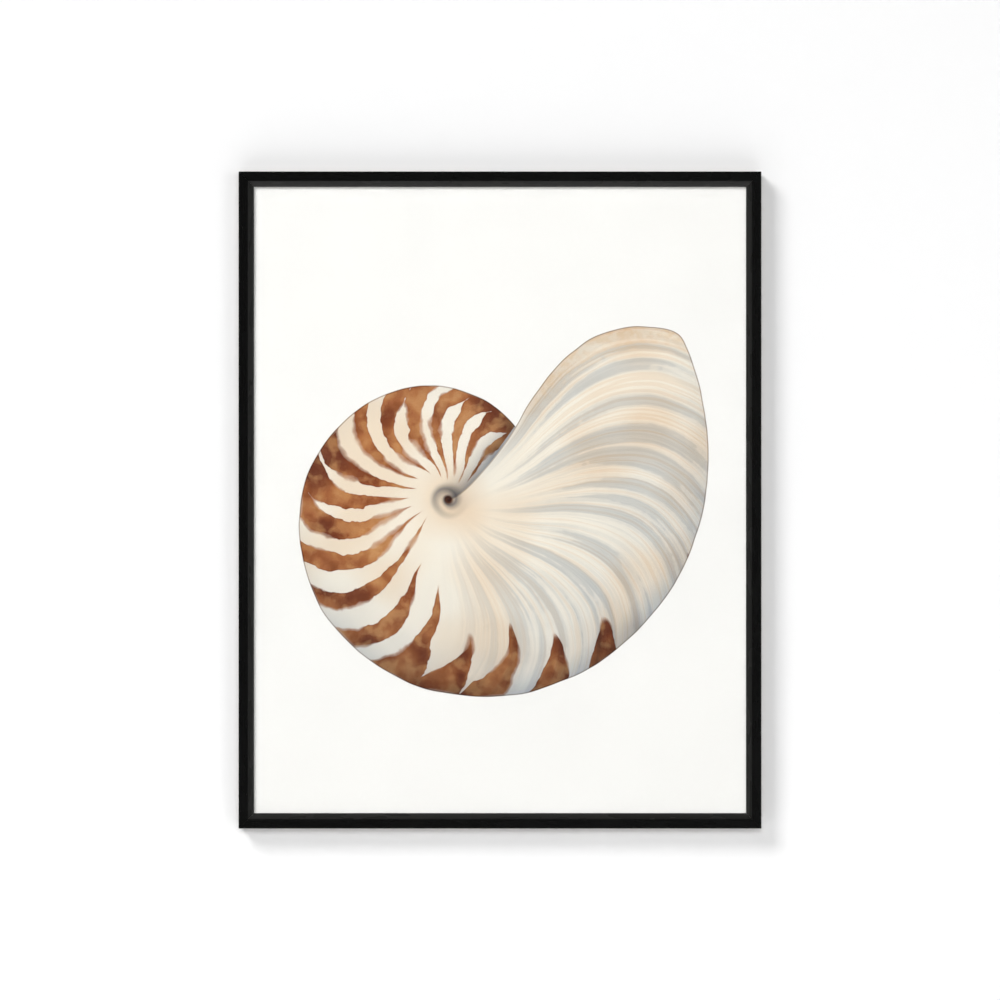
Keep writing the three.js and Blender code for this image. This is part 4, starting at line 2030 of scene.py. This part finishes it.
    def nail(self) -> bmesh.types.BMesh:
        """One nail about the middle of its head's underside, with its point to the front.

        Returns:
            The closed shape.
        """
        low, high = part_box("hanger_nail_left")
        head = (high.x - low.x) / 2
        shank = self.nail_radius
        tip = low.y - high.y + self.nail_head_height
        profile = [(self.nail_tip, tip), (shank, tip + self.nail_point_ratio * shank),
                   (shank, 0.0)]
        profile += [(head * radius, self.nail_head_height * rise)
                    for radius, rise in self.nail_dome]
        return turned(profile, self.nail_sides)

    def nail_places(self) -> list[Place]:
        """Underside of each hanger nail's head, and its turn.

        Returns:
            A place for each nail.
        """
        places = []
        for node, turn in self.nail_turns.items():
            middle = middle_of(node)
            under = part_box(node)[1].y - self.nail_head_height
            places.append((Vector((middle.x, under, middle.z)), turn))
        return places

    def bumper(self) -> bmesh.types.BMesh:
        """One bumper about the middle of its base, dished where it meets the wall.

        Returns:
            The closed shape.
        """
        low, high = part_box("bumper_left")
        radius, height = (high.x - low.x) / 2, high.y - low.y
        profile = [(radius * across, height * rise) for across, rise in self.bumper_dish]
        return turned(profile, self.bumper_sides)

    def bumper_places(self) -> list[Place]:
        """Middle of each bumper's base, with no turn.

        Returns:
            A place for each bumper.
        """
        places = []
        for node in self.bumper_nodes:
            middle = middle_of(node)
            places.append((Vector((middle.x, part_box(node)[0].y, middle.z)), 0.0))
        return places

    def build(self) -> None:
        """Makes every fixing and hands it over."""
        tree = FixingTree()
        zinc = ZincFinish().material
        tabs = tree.drive("flexible_tabs", self.tab(), self.tab_places(), TabFinish().material,
                          tilt=0.012, sink_spread=0.25 * MM, seed=5)
        smooth(tabs, sharp_degrees=38.0)
        hand_over(tabs, Slot.TAB, *(node for node, _ in self.tab_nodes()))
        v_nails = tree.drive("corner_v_nails", self.v_nail(), self.v_places(), zinc,
                             tilt=0.0, sink_spread=0.0, seed=6)
        hand_over(v_nails, Slot.ZINC, *(f"v_nail_{label}" for label, _, _ in self.corners))
        self.hanger(zinc)
        nails = tree.drive("hanger_nails", self.nail(), self.nail_places(), zinc,
                           tilt=0.0, sink_spread=0.0, seed=7)
        smooth(nails, sharp_degrees=35.0)
        hand_over(nails, Slot.ZINC, *self.nail_turns)
        bumpers = tree.drive("wall_bumpers", self.bumper(), self.bumper_places(),
                             RubberFinish().material, tilt=0.0, sink_spread=0.0, seed=8)
        smooth(bumpers, sharp_degrees=35.0)
        hand_over(bumpers, Slot.RUBBER, *self.bumper_nodes)


@dataclass
class Studio:
    """The wall that the print hangs on, the floor below, the lamps, the sky and the camera.

    Attributes:
        fade_start: How far out the floor begins to fade, in metres.
        fade_end: How far out it is gone.
        sky_turn: Where the sky changes, as the share of a direction that points behind the print.
        sky_strength: The sky's strength in front of the print, and behind it.
        wash_spread: Width of the beam that only washes the floor, in radians.
        view_width: Width that the camera takes in at the print's front, in metres.
    """

    layout: Layout
    wall_half_width: float = 3.0
    wall_gap: float = 0.5 * MM
    wall_top: float = 1.6
    floor_drop: float = 1.15
    floor_depth: float = 4.6
    wall_tone: float = 0.96
    floor_tone: float = 0.74
    fade_start: float = 1.6
    fade_end: float = 4.4
    sky_tone: float = 0.9
    sky_turn: Pair = (-0.05, 0.3)
    sky_strength: Pair = (0.03, 0.6)
    wash_spread: float = math.radians(84.0)
    lens: float = 200.0
    sensor: float = 36.0
    view_width: float = 1.1349

    def surface(self, name: str, corners: Sequence[tuple[float, float, float]], tone: float,
                clear: Callable[[Graph], Field]) -> bpy.types.Object:
        """A flat pale surface of the stage.

        Args:
            name: Its name.
            corners: Its corners, counter-clockwise seen from its front.
            tone: How much light it sends back.
            clear: Gives how see-through it is, from 0 to 1, place by place.

        Returns:
            The surface.
        """
        mesh = bpy.data.meshes.new(name)
        mesh.from_pydata(corners, [], [tuple(range(len(corners)))])
        made = placed_object(mesh, name)
        graph = Graph(bpy.data.materials.new(name))
        paint = graph.node("BsdfDiffuse")
        paint.inputs["Color"].default_value = (tone, tone, tone, 1.0)
        either = graph.node("MixShader")
        graph.put(either.inputs[0], clear(graph))
        graph.put(either.inputs[1], paint.outputs[0])
        graph.put(either.inputs[2], graph.node("BsdfTransparent").outputs[0])
        graph.put(graph.node("OutputMaterial").inputs["Surface"], either.outputs[0])
        mesh.materials.append(graph.holder)
        return made

    def clear_from_behind(self, graph: Graph) -> Field:
        """Clears the wall's back, which lets the back of the print be looked at."""
        return Field(graph, graph.node("NewGeometry").outputs["Backfacing"])

    def clear_far_out(self, graph: Graph) -> Field:
        """Fades the floor into the pale distance."""
        across, back, _ = graph.object_place()
        return Point(across, back).length().step(self.fade_start, self.fade_end)

    def room(self) -> None:
        """Makes the wall and the floor."""
        centre, half = self.layout.centre, self.wall_half_width
        floor = centre.z - self.floor_drop
        top = centre.z + self.wall_top
        gap = self.wall_gap
        wall = self.surface("wall", [(-half, gap, floor), (half, gap, floor),
                                     (half, gap, top), (-half, gap, top)],
                            self.wall_tone, self.clear_from_behind)
        wall.visible_shadow = False
        reach = self.floor_depth
        self.surface("floor", [(-reach, -reach, floor), (reach, -reach, floor),
                               (reach, reach, floor), (-reach, reach, floor)],
                     self.floor_tone, self.clear_far_out)

    def lamp(self, name: str, place: tuple[float, float, float], size: float,
             power: float, shines: bool = True, straight_down: bool = False) -> None:
        """A square soft lamp aimed at the picture's middle, or straight down in a narrow beam.

        Args:
            name: Its name.
            place: Where it stands, from the picture's middle, in metres.
            size: Its width.
            power: Its power, in watts.
            shines: Whether gloss and the acrylic mirror it.
            straight_down: Whether it only washes the floor below it.
        """
        data = bpy.data.lights.new(name, "AREA")
        data.shape = "SQUARE"
        data.size = size
        data.energy = power
        lamp = bpy.data.objects.new(name, data)
        bpy.context.scene.collection.objects.link(lamp)
        away = Vector(place)
        lamp.location = self.layout.centre + away
        if straight_down:
            data.spread = self.wash_spread
        else:
            lamp.rotation_euler = away.to_track_quat("Z", "Y").to_euler()
        lamp.visible_camera = False
        lamp.visible_transmission = False
        lamp.visible_glossy = shines

    def light(self) -> None:
        """Sets the lamps, and the view that shows their light as it is."""
        self.lamp("key_upper_left", (-4.6, -5.6, 5.2), size=3.4, power=462.0)
        self.lamp("fill_right", (2.6, -4.4, 0.2), size=1.6, power=33.0)
        self.lamp("fill_front", (0.2, -6.0, 0.9), size=1.5, power=126.0, shines=False)
        self.lamp("back_left", (-2.2, 3.0, 1.8), size=1.8, power=100.0)
        self.lamp("back_right", (2.4, 3.0, 1.2), size=1.8, power=62.0)
        self.lamp("floor_front", (0.0, -4.4, 3.2), size=2.5, power=42.0, shines=False,
                  straight_down=True)
        bpy.context.scene.view_settings.view_transform = "Standard"

    def sky(self) -> None:
        """Makes a sky that is pale where it is seen, and lights the print mostly from behind."""
        graph = Graph(bpy.data.worlds.new("studio"))
        _, behind, _ = graph.parts(graph.node("TexCoord").outputs["Generated"])
        seen = Field(graph, graph.node("LightPath").outputs["Is Camera Ray"])
        sky = graph.node("Background")
        sky.inputs["Color"].default_value = (self.sky_tone, self.sky_tone, self.sky_tone, 1.0)
        strength = behind.ramp(*self.sky_turn, *self.sky_strength).most(seen)
        graph.put(sky.inputs["Strength"], strength)
        graph.put(graph.node("OutputWorld").inputs["Surface"], sky.outputs[0])
        bpy.context.scene.world = graph.holder

    def camera(self) -> None:
        """Puts the camera straight in front, as far off as the view's width asks."""
        data = bpy.data.cameras.new("camera")
        data.lens = self.lens
        data.sensor_width = self.sensor
        distance = self.view_width * self.lens / self.sensor
        data.clip_end = 4 * distance
        camera = bpy.data.objects.new("camera", data)
        bpy.context.scene.collection.objects.link(camera)
        centre = self.layout.centre
        camera.location = (centre.x, self.layout.front - distance, centre.z)
        camera.rotation_euler = (math.radians(90.0), 0.0, 0.0)
        bpy.context.scene.camera = camera

    def build(self) -> None:
        """Sets up the whole studio."""
        self.camera()
        self.room()
        self.light()
        self.sky()


def main() -> None:
    """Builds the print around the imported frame."""
    logging.basicConfig(level=logging.INFO, format="%(name)s: %(message)s")
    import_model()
    layout = Layout.from_frame()
    Studio(layout).build()
    hardware = Hardware(layout)
    Moulding(layout).build(hardware)
    Sheets(layout).build()
    hardware.build()


if __name__ == "__main__":
    main()
